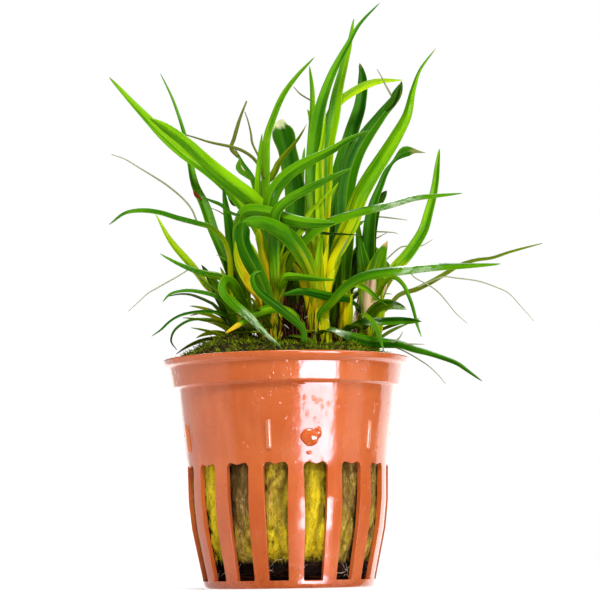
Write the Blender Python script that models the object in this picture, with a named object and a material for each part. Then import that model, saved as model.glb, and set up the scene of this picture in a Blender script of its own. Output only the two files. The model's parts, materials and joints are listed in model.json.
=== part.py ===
"""A potted pipewort: grass-like leaves on short crowns, rooted in rockwool and moss in a slotted net pot.

Metres, +Z up, standing on Z = 0 with the pot's axis on Z. The front is towards -Y.
"""

import math

import bmesh
import bpy
import numpy as np
from mathutils import Vector

MM = 0.001

# Driving dimensions of the pot, in millimetres
POT_HEIGHT = 46.2
RIM_RADIUS = 25.2
BAND_TOP_RADIUS = 24.0
BAND_FOOT_RADIUS = 23.2
BAND_FOOT = 40.4
LIP_FOOT = 45.3
WALL_HEIGHTS = (0.0, 2.3, 6.5, 12.0, 17.5, 25.0, BAND_FOOT)
WALL_RADII = (17.3, 17.6, 18.5, 19.65, 20.25, 20.4, 22.1)
WALL = 1.0
FLOOR = 1.1
FOOT_RADIUS = 17.1
SLOTS = 16
SLOT_FOOT = 1.6
SLOT_HEAD = 24.7
SLOT_FOOT_WIDTH = 3.9
SLOT_HEAD_WIDTH = 4.9
SLOT_CORNER = 0.8
SLOT_DIP = 0.35
FRONT_SLOT = -6.6
STATIONS_PER_SLOT = 4
BAR_ANGLES = (-70, -10, 50, 110, 170, 230)
BAR_FOOT, BAR_HEAD, BAR_WIDTH, BAR_PROUD = 27.2, 33.0, 1.2, 0.5
DRAINS, DRAIN_INNER, DRAIN_OUTER, DRAIN_WIDTH = 6, 6.5, 13.0, 2.2

# Driving dimensions of what fills the pot, in millimetres
GAP = 0.35
PLUG_FOOT = 4.4
PLUG_HEEL = 1.5
PLUG_HEEL_RADIUS = 12.5
PLUG_TOP = 44.0
PLUG_RAGGED = 0.3
MOSS_FOOT = 44.4
MOSS_RADIUS = 22.3
MOSS_EDGE = 45.9
MOSS_RISE = 5.2
CROWN_FOOT = 45.2

# The eye that the leaves' outlines were read from, in front of the pot's axis
EYE_DISTANCE = 528.0
EYE_HEIGHT = 4.0

# Driving dimensions of a leaf blade, in millimetres
BLADE_THICKNESS = 0.36
BLADE_FOLD = 0.32
FOOT_WIDTH = 1.15
SAMPLES = 29
BLUNT_WIDTH = 0.75
LONG_LEAF = 30.0
LONG_STATIONS, SHORT_STATIONS = 11, 9
SHEATH_SHARE = 0.3
SPREAD_ROUNDS = 120
TWIST_ROUNDS = 8
STRAY_FOOT = (3.5, -18.5)
CROWN_SIDES = 8

# Colours, as linear red, green and blue
TERRACOTTA = (0.62, 0.19, 0.085)
ROCKWOOL = (0.36, 0.29, 0.06)
MOSS_GREEN = (0.05, 0.08, 0.015)
CROWN_YELLOW = (0.55, 0.52, 0.10)
LEAF_SHADES = {
    "bright": (0.13, 0.36, 0.025),
    "mid": (0.06, 0.24, 0.02),
    "dark": (0.02, 0.10, 0.015),
}

# Each crown: where it stands (x, y), how far its top leans (x, y), the height of its top, and its radius
CROWNS = {
    "a": ((6.3, -4.0), (0.3, 0.0), 62.5, 1.75),
    "b": ((11.3, 0.0), (1.4, 0.5), 58.5, 1.1),
    "c": ((15.4, 2.0), (2.2, 0.8), 61.0, 1.85),
    "d": ((-2.6, -4.0), (-0.4, 0.0), 59.5, 1.5),
    "e": ((-8.6, 0.5), (-0.6, 0.0), 57.5, 1.6),
    "f": ((0.5, 6.0), (-0.6, 1.0), 60.5, 1.6),
    "g": ((8.5, 8.0), (0.4, 1.2), 61.0, 1.6),
}

# Each leaf: its crown, the height of its foot, how deep its tip lies (towards the front is negative), how
# far the blade is turned from facing the eye, its shade, its widths as seen, and its outline as seen (x, z)
LEAVES = {
    "leaf_left_1": ("f", 57, 12, 30, "bright", (0.4, 1.5, 2.2, 2.6, 2.8, 2.6, 2.2, 1.6),
        [(-35.6, 105.2), (-33, 102.1), (-30.3, 99), (-27.6, 96), (-25.5, 93.7), (-22.8, 91),
         (-19.8, 88.3), (-16.7, 86.2), (-13.7, 83.6), (-11, 81), (-7.5, 76.5), (-3.6, 69)]),
    "leaf_left_2": ("d", 57.5, -14, 15, "bright", (0.8, 2.2, 2.8, 3.4, 3.6, 3.2, 2.4, 1.6),
        [(-27.3, 96.6), (-25.2, 95.4), (-22.5, 93.5), (-19.7, 91.3), (-17, 88.7), (-14, 85.8),
         (-10.6, 82.9), (-7.2, 80.2), (-4.8, 78), (-3.2, 74), (-2.9, 68)]),
    "leaf_left_3": ("e", 55, 20, 35, "mid", (0.3, 0.7, 1.1, 1.7, 1.9, 1.6),
        [(-25, 105.8), (-22.6, 100.4), (-20.3, 93), (-19.2, 87), (-18, 81.5), (-16, 77), (-14.8, 73),
         (-13.2, 69), (-11.5, 65)]),
    "leaf_left_4": ("e", 56.3, -10, 50, "mid", (0.3, 0.9, 1.0, 1.1, 1.1, 1.0),
        [(-35.8, 74.6), (-34, 76.3), (-32.2, 77.2), (-30, 77.6), (-27.4, 77.6), (-25.1, 77.1),
         (-22.7, 76.3), (-20.7, 75.7), (-18.7, 75.1), (-15.8, 74.3), (-13.2, 72.6), (-11, 68)]),
    "leaf_left_5": ("e", 52.8, 8, 30, "bright", (0.3, 0.9, 1.2, 1.5, 1.8),
        [(-26.3, 76.7), (-25, 74), (-23.4, 71), (-21.4, 68.4), (-19.3, 66), (-17.2, 63.3),
         (-15.5, 61), (-12, 58)]),
    "leaf_left_6": ("e", 53.5, -10, 45, "mid", (0.3, 0.9, 1.3, 1.6, 1.5),
        [(-25.4, 68.4), (-23.2, 67.2), (-21.2, 66.2), (-18.8, 65.2), (-14.8, 64), (-12.2, 62.6)]),
    "leaf_left_7": ("e", 52.4, -13, 40, "mid", (0.3, 0.8, 0.9, 1.0),
        [(-25, 58.5), (-24.3, 59.7), (-22.7, 60.4), (-20.7, 60.9), (-18.7, 60.8), (-15, 60),
         (-12, 58.2)]),
    "leaf_left_8": ("e", 51.8, -17, 40, "dark", (0.3, 0.5, 0.7, 0.9),
        [(-27.3, 51.5), (-25.7, 52.4), (-24.7, 53.5), (-22.8, 54.9), (-20.8, 55.8), (-18.8, 56.1),
         (-14.8, 56.2), (-11.5, 55)]),
    "leaf_left_9": ("e", 51.7, 13, 30, "mid", (0.3, 0.55, 0.6, 0.7),
        [(-22.2, 48.6), (-23.3, 50), (-23.4, 51.2), (-22.8, 52.5), (-21.4, 53.8), (-19.9, 54.6),
         (-17.9, 54.9), (-15, 54.8), (-12.3, 54)]),
    "leaf_up_1": ("f", 59, -7, 20, "bright", (0.4, 1.2, 1.6, 1.8, 1.8, 1.6),
        [(6.8, 108.8), (5.6, 107.3), (2.8, 104.6), (0.9, 102.2), (-0.7, 99.3), (-2, 96.3),
         (-3.1, 93.7), (-3.4, 89), (-3.7, 86), (-3.6, 80), (-2.6, 72)]),
    "leaf_up_2": ("d", 58.3, -3, 20, "bright", (0.6, 1.3, 1.4, 1.2),
        [(-4.2, 93), (-4.6, 89), (-5, 85), (-5.1, 80), (-4.2, 71)]),
    "leaf_up_3": ("f", 58, 12, 10, "dark", (2.9, 4.0, 4.4, 4.2, 3.4, 2.0),
        [(-1.1, 95.4), (0.2, 92.4), (0.9, 89), (1.4, 86), (2.1, 82), (2.2, 77), (1.4, 69)]),
    "leaf_up_4": ("f", 55.5, 17, 25, "mid", (0.5, 1.6, 1.8, 1.4),
        [(-9.9, 90), (-8.4, 86.8), (-6.7, 84.2), (-5.6, 81), (-3.6, 74)]),
    "leaf_up_5": ("a", 61, 13, 15, "bright", (0.3, 0.8, 1.5, 2.1, 2.8, 3.2, 3.2, 3.0, 2.2),
        [(20.5, 120), (18.2, 118), (16.3, 115.6), (14.7, 113.1), (13.4, 110.6), (11.6, 107.3),
         (9.9, 104), (8.7, 100.6), (7.8, 97.3), (7.1, 94), (6.6, 89.8), (6.3, 84.9), (6.6, 77),
         (6.9, 69)]),
    "leaf_up_6": ("a", 58.5, 20, 20, "bright", (0.4, 1.3, 2.2, 2.7, 2.6, 2.4, 2.4, 2.2, 1.8),
        [(15.1, 116.8), (14.9, 114.4), (14.5, 112.3), (13.7, 109.6), (12.9, 106.4), (12.2, 103.9),
         (11.5, 101), (11.1, 98.1), (10.4, 94.8), (9.7, 91.4), (9.3, 87.7), (8.9, 80), (8.2, 71)]),
    "leaf_up_7": ("a", 56.5, 9, 30, "mid", (0.7, 1.3, 1.6, 1.7, 1.4),
        [(5.8, 107), (6.2, 103.5), (6.4, 100.5), (6.2, 95), (5.5, 85), (5.4, 73)]),
    "leaf_up_8": ("b", 57, 14, 20, "dark", (0.8, 2.0, 3.2, 3.7, 4.0, 3.8, 3.0, 2.0),
        [(24.7, 103.5), (24.4, 101.7), (23.5, 99.6), (21.8, 97.7), (20.1, 95.8), (18.2, 93.4),
         (16.7, 91.1), (15.4, 88.7), (14.4, 86), (13.5, 83.1), (12.8, 78), (12.6, 70)]),
    "leaf_up_9": ("g", 59.5, 24, 15, "dark", (0.8, 2.4, 3.0, 3.1, 3.2, 3.0, 2.5, 1.7),
        [(16.1, 107.4), (16.8, 104.2), (16.6, 100.5), (15.8, 97.2), (14.7, 93.9), (13.3, 89.7),
         (12.2, 86.4), (11.3, 83), (10.3, 77), (9.5, 69)]),
    "leaf_up_10": ("g", 57.5, 16, 20, "bright", (0.6, 0.9, 1.4, 1.8, 1.5, 1.3, 1.3, 1.3),
        [(24.9, 103.7), (23.1, 103.7), (21.5, 103.7), (19.8, 103.4), (18.2, 102.8), (16.1, 101.9),
         (14, 100.8), (11.9, 99.2), (9.9, 96.5), (8.4, 90), (7.8, 80), (8, 70)]),
    "leaf_right_1": ("a", 60, -10, 15, "bright", (0.3, 0.6, 1.4, 2.4, 2.9, 3.2, 3.4, 3.8, 3.6, 2.4),
        [(31.9, 110.3), (29.8, 107.5), (27.6, 104.2), (26.9, 101.3), (25.8, 97), (24.5, 94.2),
         (22.5, 91), (19.7, 86.7), (16.8, 82.2), (14.8, 78.2), (13.2, 73.6), (11.1, 70), (9.1, 66)]),
    "leaf_right_2": ("c", 59, 12, 25, "dark", (0.4, 1.9, 1.2, 1.6, 2.4, 2.8, 2.4, 1.6),
        [(29.3, 88.5), (28.2, 89), (27, 89.1), (25.7, 88.7), (24.7, 88.1), (23.4, 87.3), (22.2, 86.4),
         (21.3, 84.8), (20.5, 82.8), (19.3, 80), (18.1, 76), (17.5, 69)]),
    "leaf_right_3": ("c", 57.5, 20, 25, "dark", (0.8, 2.2, 2.6, 2.6, 2.0),
        [(21.2, 80.8), (19.8, 78.5), (18.8, 76), (18.2, 72.5), (17.8, 68.5), (17.8, 64)]),
    "leaf_right_4": ("d", 54.5, -18, 45, "mid", (0.3, 1.0, 1.5, 1.8, 1.9, 1.7, 1.4),
        [(36.7, 80), (35, 79.8), (31.7, 79.7), (28.8, 79.7), (26, 79.1), (23.3, 78.4), (20.5, 77.8),
         (17.7, 77.2), (14.8, 76.5), (12, 75.8), (9.5, 75), (5, 72), (0.5, 66)]),
    "leaf_right_5": ("d", 56.5, -14, 20, "bright", (0.4, 1.5, 2.3, 3.0, 3.0, 2.5, 1.7),
        [(18.2, 93.4), (15.3, 92.5), (12.7, 91.1), (9.7, 89.3), (5.8, 87.5), (2.8, 85.9), (0.1, 84),
         (-1.8, 81.6), (-3, 78.4), (-2.8, 71)]),
    "leaf_right_6": ("d", 55.4, -17, 30, "bright", (0.4, 1.5, 2.0, 2.2, 2.0, 1.5),
        [(14.1, 85.6), (10.5, 84.1), (6.8, 82.4), (4, 81.1), (1.2, 79.6), (-1.2, 77.8), (-2.3, 75.2),
         (-2.4, 70)]),
    "leaf_right_7": ("a", 54, -19, 40, "mid", (0.4, 1.1, 1.5, 1.8, 2.0, 1.8, 1.4),
        [(44.2, 65.3), (38, 65.2), (32, 65.1), (27, 64.8), (22, 64.4), (18, 63.9), (14.5, 62.8),
         (11.5, 60.5)]),
    "leaf_right_8": ("c", 54, 8, 45, "mid", (0.3, 0.5, 0.8, 1.0, 1.1, 1.2),
        [(52.9, 69.4), (50.9, 68.9), (47.3, 68.2), (45, 67.4), (42.6, 66.7), (40.1, 66.4),
         (37.4, 66.1), (35, 64.9), (33.1, 63.8), (30.6, 62.4), (27.4, 60.8), (25.1, 60), (23, 59.2)]),
    "leaf_right_9": ("c", 52.5, -9, 35, "mid", (0.6, 2.2, 2.4, 1.8),
        [(24.8, 56.2), (22, 56.8), (19.2, 56.4)]),
    "leaf_right_10": ("c", 55.5, 14, 20, "bright", (0.7, 1.5, 2.0, 2.4, 2.6, 2.4),
        [(32.2, 89.3), (31.8, 86), (31.1, 80.7), (30, 76.6), (28.7, 72.5), (27, 69.6), (24.9, 66.8),
         (23.2, 65), (21, 62)]),
    "leaf_right_11": ("c", 58.3, -11, 30, "dark", (0.4, 0.7, 0.9, 1.0),
        [(27.7, 50.5), (27.2, 51.9), (26.7, 53.5), (26.2, 56), (25.4, 58.2), (24.8, 60.1),
         (23.6, 61.8), (21.4, 62.6)]),
    "leaf_right_12": ("b", 52.5, -10, 40, "mid", (0.5, 1.5, 1.6, 1.4),
        [(27.8, 53.7), (25, 53.8), (22.5, 53.6), (18.5, 53.5), (15.5, 53.6)]),
    "leaf_right_13": ("a", 51.8, -18, 25, "bright", (0.3, 0.9, 1.2, 1.6, 2.2, 2.5, 2.2),
        [(39.9, 41.3), (38.9, 42.4), (37.2, 43.4), (35.1, 45), (32.4, 46.2), (30.1, 47.1), (27, 48),
         (25.5, 48.5), (23.7, 49.2), (20.3, 49.6), (16.8, 50), (13.4, 51.1), (11, 52)]),
    "leaf_front_1": ("e", 54.5, -17, 15, "mid", (0.9, 2.4, 2.9, 3.0, 2.6, 1.8),
        [(10.6, 74.2), (7.7, 74.2), (4.7, 74.4), (1.3, 75.2), (-2.1, 76.2), (-5.2, 77.1), (-7.6, 77),
         (-9, 75.6), (-9.3, 73), (-8.9, 66)]),
    "leaf_front_2": ("d", 52.4, -17, 10, "mid", (1.6, 3.2, 3.4, 3.2, 2.6, 1.8),
        [(-8, 74.8), (-8.7, 72.7), (-8.3, 70), (-7.1, 67.2), (-5.8, 64.8), (-4.7, 62), (-3.6, 58.5)]),
    "leaf_front_3": ("a", 57.5, -15, 20, "bright", (1.0, 2.6, 3.3, 3.4, 3.0, 2.0),
        [(-8.6, 74.6), (-6.3, 74.9), (-3.2, 74.4), (-0.5, 72.9), (1.5, 71.2), (3.6, 68.4), (5, 65.6),
         (5.9, 62.6)]),
    "leaf_front_4": ("d", 54.0, -10, 20, "bright", (0.8, 1.6, 1.7, 1.2),
        [(-5.2, 73.3), (-4.9, 70.9), (-4.5, 68.2), (-3.8, 65.4), (-3.3, 61)]),
    "leaf_front_5": ("d", 51.2, -11, 25, "bright", (0.5, 1.5, 1.9, 1.7, 1.3),
        [(-9.6, 70.4), (-9.4, 67.6), (-8.4, 64.5), (-6.8, 61.4), (-4.6, 58.2)]),
    "leaf_front_6": ("c", 56.5, -15, 25, "dark", (0.5, 1.5, 1.9, 1.7, 1.3),
        [(-0.5, 59.6), (2.7, 60.3), (5.1, 60.2), (7.5, 59.6), (10.2, 59), (13.3, 58.6)]),
    "leaf_front_7": ("d", 58.2, -18, 25, "mid", (0.3, 1.0, 1.4, 1.6, 1.4),
        [(10.4, 62.5), (7.9, 62.7), (4.8, 63.1), (1.8, 63.4), (-0.3, 62.9)]),
    "leaf_front_8": (None, 48.1, -14, 15, "dark", (0.6, 1.6, 1.7, 1.6, 1.1),
        [(-4.4, 64.6), (-6, 64.3), (-6.3, 62.2), (-4.9, 60), (-2.7, 58.2), (-0.7, 56.6), (1, 55.1),
         (2.6, 53.7), (3.8, 51.8)]),
    "leaf_front_9": ("a", 52.2, -15, 25, "bright", (0.5, 1.4, 1.7, 1.6, 1.2),
        [(-12.3, 51.9), (-9.3, 53.9), (-6.2, 55.9), (-3.1, 56.9), (0.3, 56.5), (2.7, 55)]),
    "leaf_front_10": ("e", 56.8, -20, 20, "mid", (0.4, 1.2, 1.8, 2.3, 2.4, 1.8),
        [(-1, 48.9), (-2.8, 50.6), (-4.9, 52.6), (-7, 55), (-9.2, 56.9), (-11.2, 59), (-12.4, 60.8),
         (-12.2, 62), (-11, 62.4)]),
    "leaf_front_11": ("f", 55.5, 1, 15, "mid", (1.0, 2.2, 2.6, 2.4, 1.8),
        [(-2.9, 73), (-2.2, 69.9), (-1.9, 66.8), (-2.1, 62)]),
    "leaf_back_1": ("f", 55, 30, 30, "mid", (0.3, 1.8, 2.4, 2.4, 1.6),
        [(-4.5, 87), (-4, 82), (-2.8, 76), (-1, 68)]),
    "leaf_back_2": ("f", 57, 34, 25, "bright", (0.3, 1.8, 2.6, 2.6, 1.8),
        [(4.5, 90), (3.8, 84), (2.6, 77), (1.2, 69)]),
    "leaf_back_3": ("g", 58, 30, 30, "bright", (0.3, 1.8, 2.4, 2.6, 1.8),
        [(12.5, 86), (11.4, 82), (10, 76), (9, 70)]),
    "leaf_back_4": ("g", 55, 37, 35, "mid", (0.3, 1.8, 2.4, 2.4, 1.8),
        [(16, 71), (14.5, 73), (12.5, 72.5), (10.6, 68)]),
    "leaf_back_5": ("e", 54, 28, 30, "mid", (0.3, 1.6, 2.2, 2.2, 1.6),
        [(-7.5, 73), (-9, 74.5), (-10, 72), (-9.8, 66)]),
    "leaf_back_6": ("c", 53.5, 29, 30, "mid", (0.3, 1.6, 2.2, 2.2, 1.6),
        [(21, 62), (21, 65.5), (19.8, 66), (18.2, 62)]),
    "leaf_back_7": ("f", 53, 38, 30, "mid", (0.3, 1.6, 2.2, 2.4, 1.6),
        [(3.5, 57), (3.2, 65), (2, 69), (0.8, 66)]),
}


def principled(name, colour, roughness, coat=0.0):
    """A plain surface of one colour."""
    material = bpy.data.materials.new(name)
    material.use_nodes = True
    shader = material.node_tree.nodes["Principled BSDF"]
    shader.inputs["Base Color"].default_value = (*colour, 1.0)
    shader.inputs["Roughness"].default_value = roughness
    shader.inputs["Metallic"].default_value = 0.0
    shader.inputs["Coat Weight"].default_value = coat
    return material


def add_object(name, mesh, material=None):
    obj = bpy.data.objects.new(name, mesh)
    bpy.context.scene.collection.objects.link(obj)
    if material:
        mesh.materials.append(material)
    return obj


def mesh_of(name, points_mm, faces, smooth=True):
    """A mesh from points in millimetres."""
    mesh = bpy.data.meshes.new(name)
    mesh.from_pydata([Vector(p) * MM for p in points_mm], [], faces)
    if smooth:
        mesh.shade_smooth()
    return mesh


def hide_cutter(obj):
    obj.hide_render = True
    obj.display_type = "WIRE"
    return obj


def combine(obj, other, operation):
    modifier = obj.modifiers.new(operation.lower() + "_" + other.name, "BOOLEAN")
    modifier.operation = operation
    modifier.solver = "EXACT"
    modifier.object = hide_cutter(other)


# Pot


def wall_radius(z):
    """The outer radius of the wall and basket at a height, in millimetres."""
    return float(np.interp(z, WALL_HEIGHTS, WALL_RADII))


def pot_profile():
    """Radius and height along the outside, over the rim and down the inside to the floor."""
    heights = WALL_HEIGHTS[1:]
    outside = [(0.0, 0.0), (FOOT_RADIUS, 0.0), (wall_radius(0.5), 0.5)]
    outside += [(wall_radius(z), z) for z in heights]
    rim = [
        (BAND_FOOT_RADIUS, BAND_FOOT),
        (BAND_TOP_RADIUS, LIP_FOOT - 0.1),
        (RIM_RADIUS, LIP_FOOT + 0.1),
        (RIM_RADIUS, POT_HEIGHT),
        (BAND_TOP_RADIUS - WALL, POT_HEIGHT),
        (BAND_FOOT_RADIUS - WALL, BAND_FOOT + WALL),
        (wall_radius(BAND_FOOT) - WALL, BAND_FOOT + WALL / 2),
    ]
    inside = [(wall_radius(z) - WALL, z) for z in reversed(heights[:-1])]
    floor = [(FOOT_RADIUS - WALL, FLOOR), (0.0, FLOOR)]
    return outside + rim + inside + floor


def turned(name, profile, stations, start):
    """A closed body of revolution about Z from a profile that starts and ends on the axis."""
    edge = profile[1:-1]
    points = [(0.0, 0.0, profile[0][1]), (0.0, 0.0, profile[-1][1])]
    for i in range(stations):
        angle = start + 2 * math.pi * i / stations
        points += [(r * math.cos(angle), r * math.sin(angle), z) for r, z in edge]
    count = len(edge)
    faces = []
    for i in range(stations):
        here, there = 2 + i * count, 2 + (i + 1) % stations * count
        faces.append((0, there, here))
        faces.append((1, here + count - 1, there + count - 1))
        faces += [(here + k, there + k, there + k + 1, here + k + 1) for k in range(count - 1)]
    return mesh_of(name, points, faces)


def slot_outline():
    """Rounded corners at the head, which dips a little in its middle: sideways and height."""
    foot, head = SLOT_FOOT_WIDTH / 2, SLOT_HEAD_WIDTH / 2
    shoulder = (head - 0.3 * SLOT_CORNER, SLOT_HEAD - 0.5 * SLOT_CORNER)
    right = [(foot, SLOT_FOOT), (head, SLOT_HEAD - 1.3 * SLOT_CORNER), shoulder]
    right.append((head - SLOT_CORNER, SLOT_HEAD))
    left = [(-x, z) for x, z in reversed(right)]
    return [*right, (0.0, SLOT_HEAD - SLOT_DIP), *left]


def radial_prism(outline, angle, inner, outer):
    """Corners and faces of an upright outline pushed from one radius to another."""
    out = Vector((math.cos(angle), math.sin(angle), 0))
    side = Vector((-math.sin(angle), math.cos(angle), 0))
    ends = [[out * radius + side * x + Vector((0, 0, z)) for x, z in outline] for radius in (inner, outer)]
    count = len(outline)
    faces = [tuple(reversed(range(count))), tuple(range(count, 2 * count))]
    faces += [(k, (k + 1) % count, count + (k + 1) % count, count + k) for k in range(count)]
    return ends[0] + ends[1], faces


def prisms(name, outline, angles, inner, outer):
    """Several radial prisms in one mesh."""
    points, faces = [], []
    for angle in angles:
        corners, sides = radial_prism(outline, angle, inner, outer)
        faces += [tuple(len(points) + k for k in side) for side in sides]
        points += corners
    return add_object(name, mesh_of(name, points, faces, smooth=False))


def around(count, start_degrees):
    """Equal angles round the pot. An azimuth of 0 faces the front and grows to the right."""
    return [math.radians(start_degrees - 90 + 360 * k / count) for k in range(count)]


def make_pot():
    step = 360 / (SLOTS * STATIONS_PER_SLOT)
    start = math.radians(FRONT_SLOT - 90 + step / 2)
    mesh = turned("pot", pot_profile(), SLOTS * STATIONS_PER_SLOT, start)
    pot = add_object("pot", mesh, principled("terracotta_plastic", TERRACOTTA, 0.25, coat=0.5))
    inside = FOOT_RADIUS - WALL - 2.4
    slots = prisms("slot_cutter", slot_outline(), around(SLOTS, FRONT_SLOT), inside, RIM_RADIUS)
    combine(pot, slots, "DIFFERENCE")
    half, below, above = DRAIN_WIDTH / 2, -FLOOR, FLOOR * 1.5
    drain = [(half, below), (half, above), (-half, above), (-half, below)]
    drains = prisms("drain_cutter", drain, around(DRAINS, FRONT_SLOT), DRAIN_INNER, DRAIN_OUTER)
    combine(pot, drains, "DIFFERENCE")
    for azimuth in BAR_ANGLES:
        combine(pot, make_bar(azimuth), "UNION")
    return pot


def make_bar(azimuth):
    """A small raised bar that follows the wall's slope and is rooted in it."""
    angle = math.radians(azimuth - 90)
    half = BAR_WIDTH / 2
    points = []
    for z in (BAR_FOOT, BAR_HEAD):
        for radius in (wall_radius(z) - WALL / 2, wall_radius(z) + BAR_PROUD):
            for side in (-half, half):
                x = radius * math.cos(angle) - side * math.sin(angle)
                y = radius * math.sin(angle) + side * math.cos(angle)
                points.append((x, y, z))
    faces = [(0, 1, 3, 2), (4, 6, 7, 5), (0, 4, 5, 1), (2, 3, 7, 6), (0, 2, 6, 4), (1, 5, 7, 3)]
    name = f"bar_{azimuth % 360}"
    obj = add_object(name, mesh_of(name, points, faces, smooth=False))
    face_outwards(obj.data)
    return obj


def face_outwards(mesh):
    work = bmesh.new()
    work.from_mesh(mesh)
    bmesh.ops.recalc_face_normals(work, faces=work.faces)
    work.to_mesh(mesh)
    work.free()


# Rockwool and moss


def lumps(angle, height):
    """A gentle uneven swelling of a surface, from -1 to 1."""
    wide = math.sin(3 * angle + 0.21 * height)
    narrow = 0.7 * math.sin(7 * angle - 0.37 * height + 1.3)
    return (wide + narrow + 0.5 * math.sin(13 * angle + 0.9)) / 2.2


def plug_radius(z):
    """The mean radius of the rockwool where it fills the pot, in millimetres."""
    return wall_radius(min(z, BAND_FOOT - 1)) - WALL - GAP - PLUG_RAGGED


def make_rockwool():
    """The fibrous plug round the roots, pressed into the pot, on a narrower heel."""
    stations = 32
    rows = [(PLUG_HEEL, PLUG_HEEL_RADIUS), (PLUG_FOOT - 0.8, PLUG_HEEL_RADIUS + 1.2)]
    rows.append((PLUG_FOOT, plug_radius(0) - 0.8))
    rows += [(z, plug_radius(z)) for z in (6.0, 10.0, 15.0, 21.0, 27.0, 35.0, PLUG_TOP - 1.0)]
    rows.append((PLUG_TOP, plug_radius(PLUG_TOP) - 1.2))
    points = [(0, 0, PLUG_HEEL), (0, 0, PLUG_TOP)]
    for z, mean in rows:
        for i in range(stations):
            angle = 2 * math.pi * i / stations
            radius = mean + PLUG_RAGGED * lumps(angle, z)
            points.append((radius * math.cos(angle), radius * math.sin(angle), z))
    faces = []
    last = 2 + (len(rows) - 1) * stations
    for i in range(stations):
        j = (i + 1) % stations
        faces.append((0, 2 + j, 2 + i))
        faces.append((1, last + i, last + j))
        for low in range(2, last, stations):
            faces.append((low + i, low + j, low + stations + j, low + stations + i))
    add_object("rockwool", mesh_of("rockwool", points, faces), principled("rockwool", ROCKWOOL, 0.95))


def moss_height(x, y):
    """The height of the moss, in millimetres: a mound that is higher at the left."""
    share = min(1.0, math.hypot(x, y) / MOSS_RADIUS)
    mound = MOSS_RISE * (1 - share**2.4)
    lean = -0.07 * x * (1 - share)
    bumps = 0.35 * math.sin(0.55 * x + 1.0) * math.sin(0.6 * y) * (1 - share**4)
    return MOSS_EDGE + mound + lean + bumps


def make_moss():
    """A low mound that fills the pot's mouth, with a socket for each crown."""
    stations, rings = 24, 5
    points = [(0, 0, MOSS_FOOT), (0, 0, moss_height(0, 0))]
    for ring in range(1, rings + 1):
        radius = MOSS_RADIUS * ring / rings
        for i in range(stations):
            angle = 2 * math.pi * i / stations
            x, y = radius * math.cos(angle), radius * math.sin(angle)
            points.append((x, y, moss_height(x, y)))
    foot = len(points)
    for i in range(stations):
        angle = 2 * math.pi * i / stations
        points.append((MOSS_RADIUS * math.cos(angle), MOSS_RADIUS * math.sin(angle), MOSS_FOOT))
    faces = []
    for i in range(stations):
        j = (i + 1) % stations
        faces.append((1, 2 + i, 2 + j))
        faces.append((0, foot + j, foot + i))
        for ring in range(rings - 1):
            inner, outer = 2 + ring * stations, 2 + (ring + 1) * stations
            faces.append((inner + i, outer + i, outer + j, inner + j))
        edge = 2 + (rings - 1) * stations
        faces.append((edge + i, foot + i, foot + j, edge + j))
    moss = add_object("moss", mesh_of("moss", points, faces), principled("moss", MOSS_GREEN, 1.0))
    for name in CROWNS:
        combine(moss, make_socket(name), "DIFFERENCE")
    return moss


# Crowns


def crown_centre(name, z):
    """The centre of a crown at a height, in millimetres."""
    (x, y), (lean_x, lean_y), top, _ = CROWNS[name]
    share = (z - CROWN_FOOT) / (top - CROWN_FOOT)
    return x + lean_x * share, y + lean_y * share


def crown_radius(name, z):
    _, _, top, radius = CROWNS[name]
    share = max(0.0, (z - CROWN_FOOT) / (top - CROWN_FOOT))
    return radius * (1 - 0.45 * share**1.5)


def crown_body(name, label, foot, top, spare=0.0):
    """A tapering leaning stem. spare widens it, for its socket."""
    heights = np.linspace(foot, top, 5)
    points = []
    for z in heights:
        x, y = crown_centre(name, z)
        radius = crown_radius(name, z) + spare
        for k in range(CROWN_SIDES):
            angle = 2 * math.pi * k / CROWN_SIDES
            points.append((x + radius * math.cos(angle), y + radius * math.sin(angle), float(z)))
    sides = CROWN_SIDES
    last = len(points) - sides
    faces = [tuple(reversed(range(sides))), tuple(range(last, last + sides))]
    for low in range(0, last, sides):
        for k in range(sides):
            j = (k + 1) % sides
            faces.append((low + k, low + j, low + sides + j, low + sides + k))
    return add_object(label, mesh_of(label, points, faces))


def make_socket(name):
    return crown_body(name, "socket_" + name, CROWN_FOOT - GAP, MOSS_EDGE + MOSS_RISE + 3, GAP)


def make_crown(name):
    crown = crown_body(name, "crown_" + name, CROWN_FOOT, CROWNS[name][2])
    crown.data.materials.append(bpy.data.materials["crown"])


# Leaves


def at_depth(x, z, y):
    """The point at depth y that the eye sees at (x, z), both in millimetres."""
    scale = (EYE_DISTANCE + y) / EYE_DISTANCE
    return np.array([x * scale, y, EYE_HEIGHT + (z - EYE_HEIGHT) * scale])


def seen_at(x, y, z):
    """Where the eye sees a point, as (x, z) in millimetres."""
    scale = EYE_DISTANCE / (EYE_DISTANCE + y)
    return x * scale, EYE_HEIGHT + (z - EYE_HEIGHT) * scale


def curve_through(points, count):
    """Evenly spaced points on a smooth curve through the given ones."""
    points = np.array(points, float)
    padded = np.vstack([2 * points[0] - points[1], points, 2 * points[-1] - points[-2]])
    dense = []
    for i in range(len(points) - 1):
        a, b, c, d = padded[i : i + 4]
        for t in np.linspace(0, 1, 12, endpoint=False):
            square, cube = 2 * a - 5 * b + 4 * c - d, 3 * b - a - 3 * c + d
            dense.append(0.5 * (2 * b + (c - a) * t + square * t**2 + cube * t**3))
    dense.append(points[-1])
    dense = np.array(dense)
    length = np.concatenate([[0], np.cumsum(np.linalg.norm(np.diff(dense, axis=0), axis=1))])
    wanted = np.linspace(0, length[-1], count)
    return np.stack([np.interp(wanted, length, dense[:, k]) for k in range(points.shape[1])], axis=1)


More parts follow.
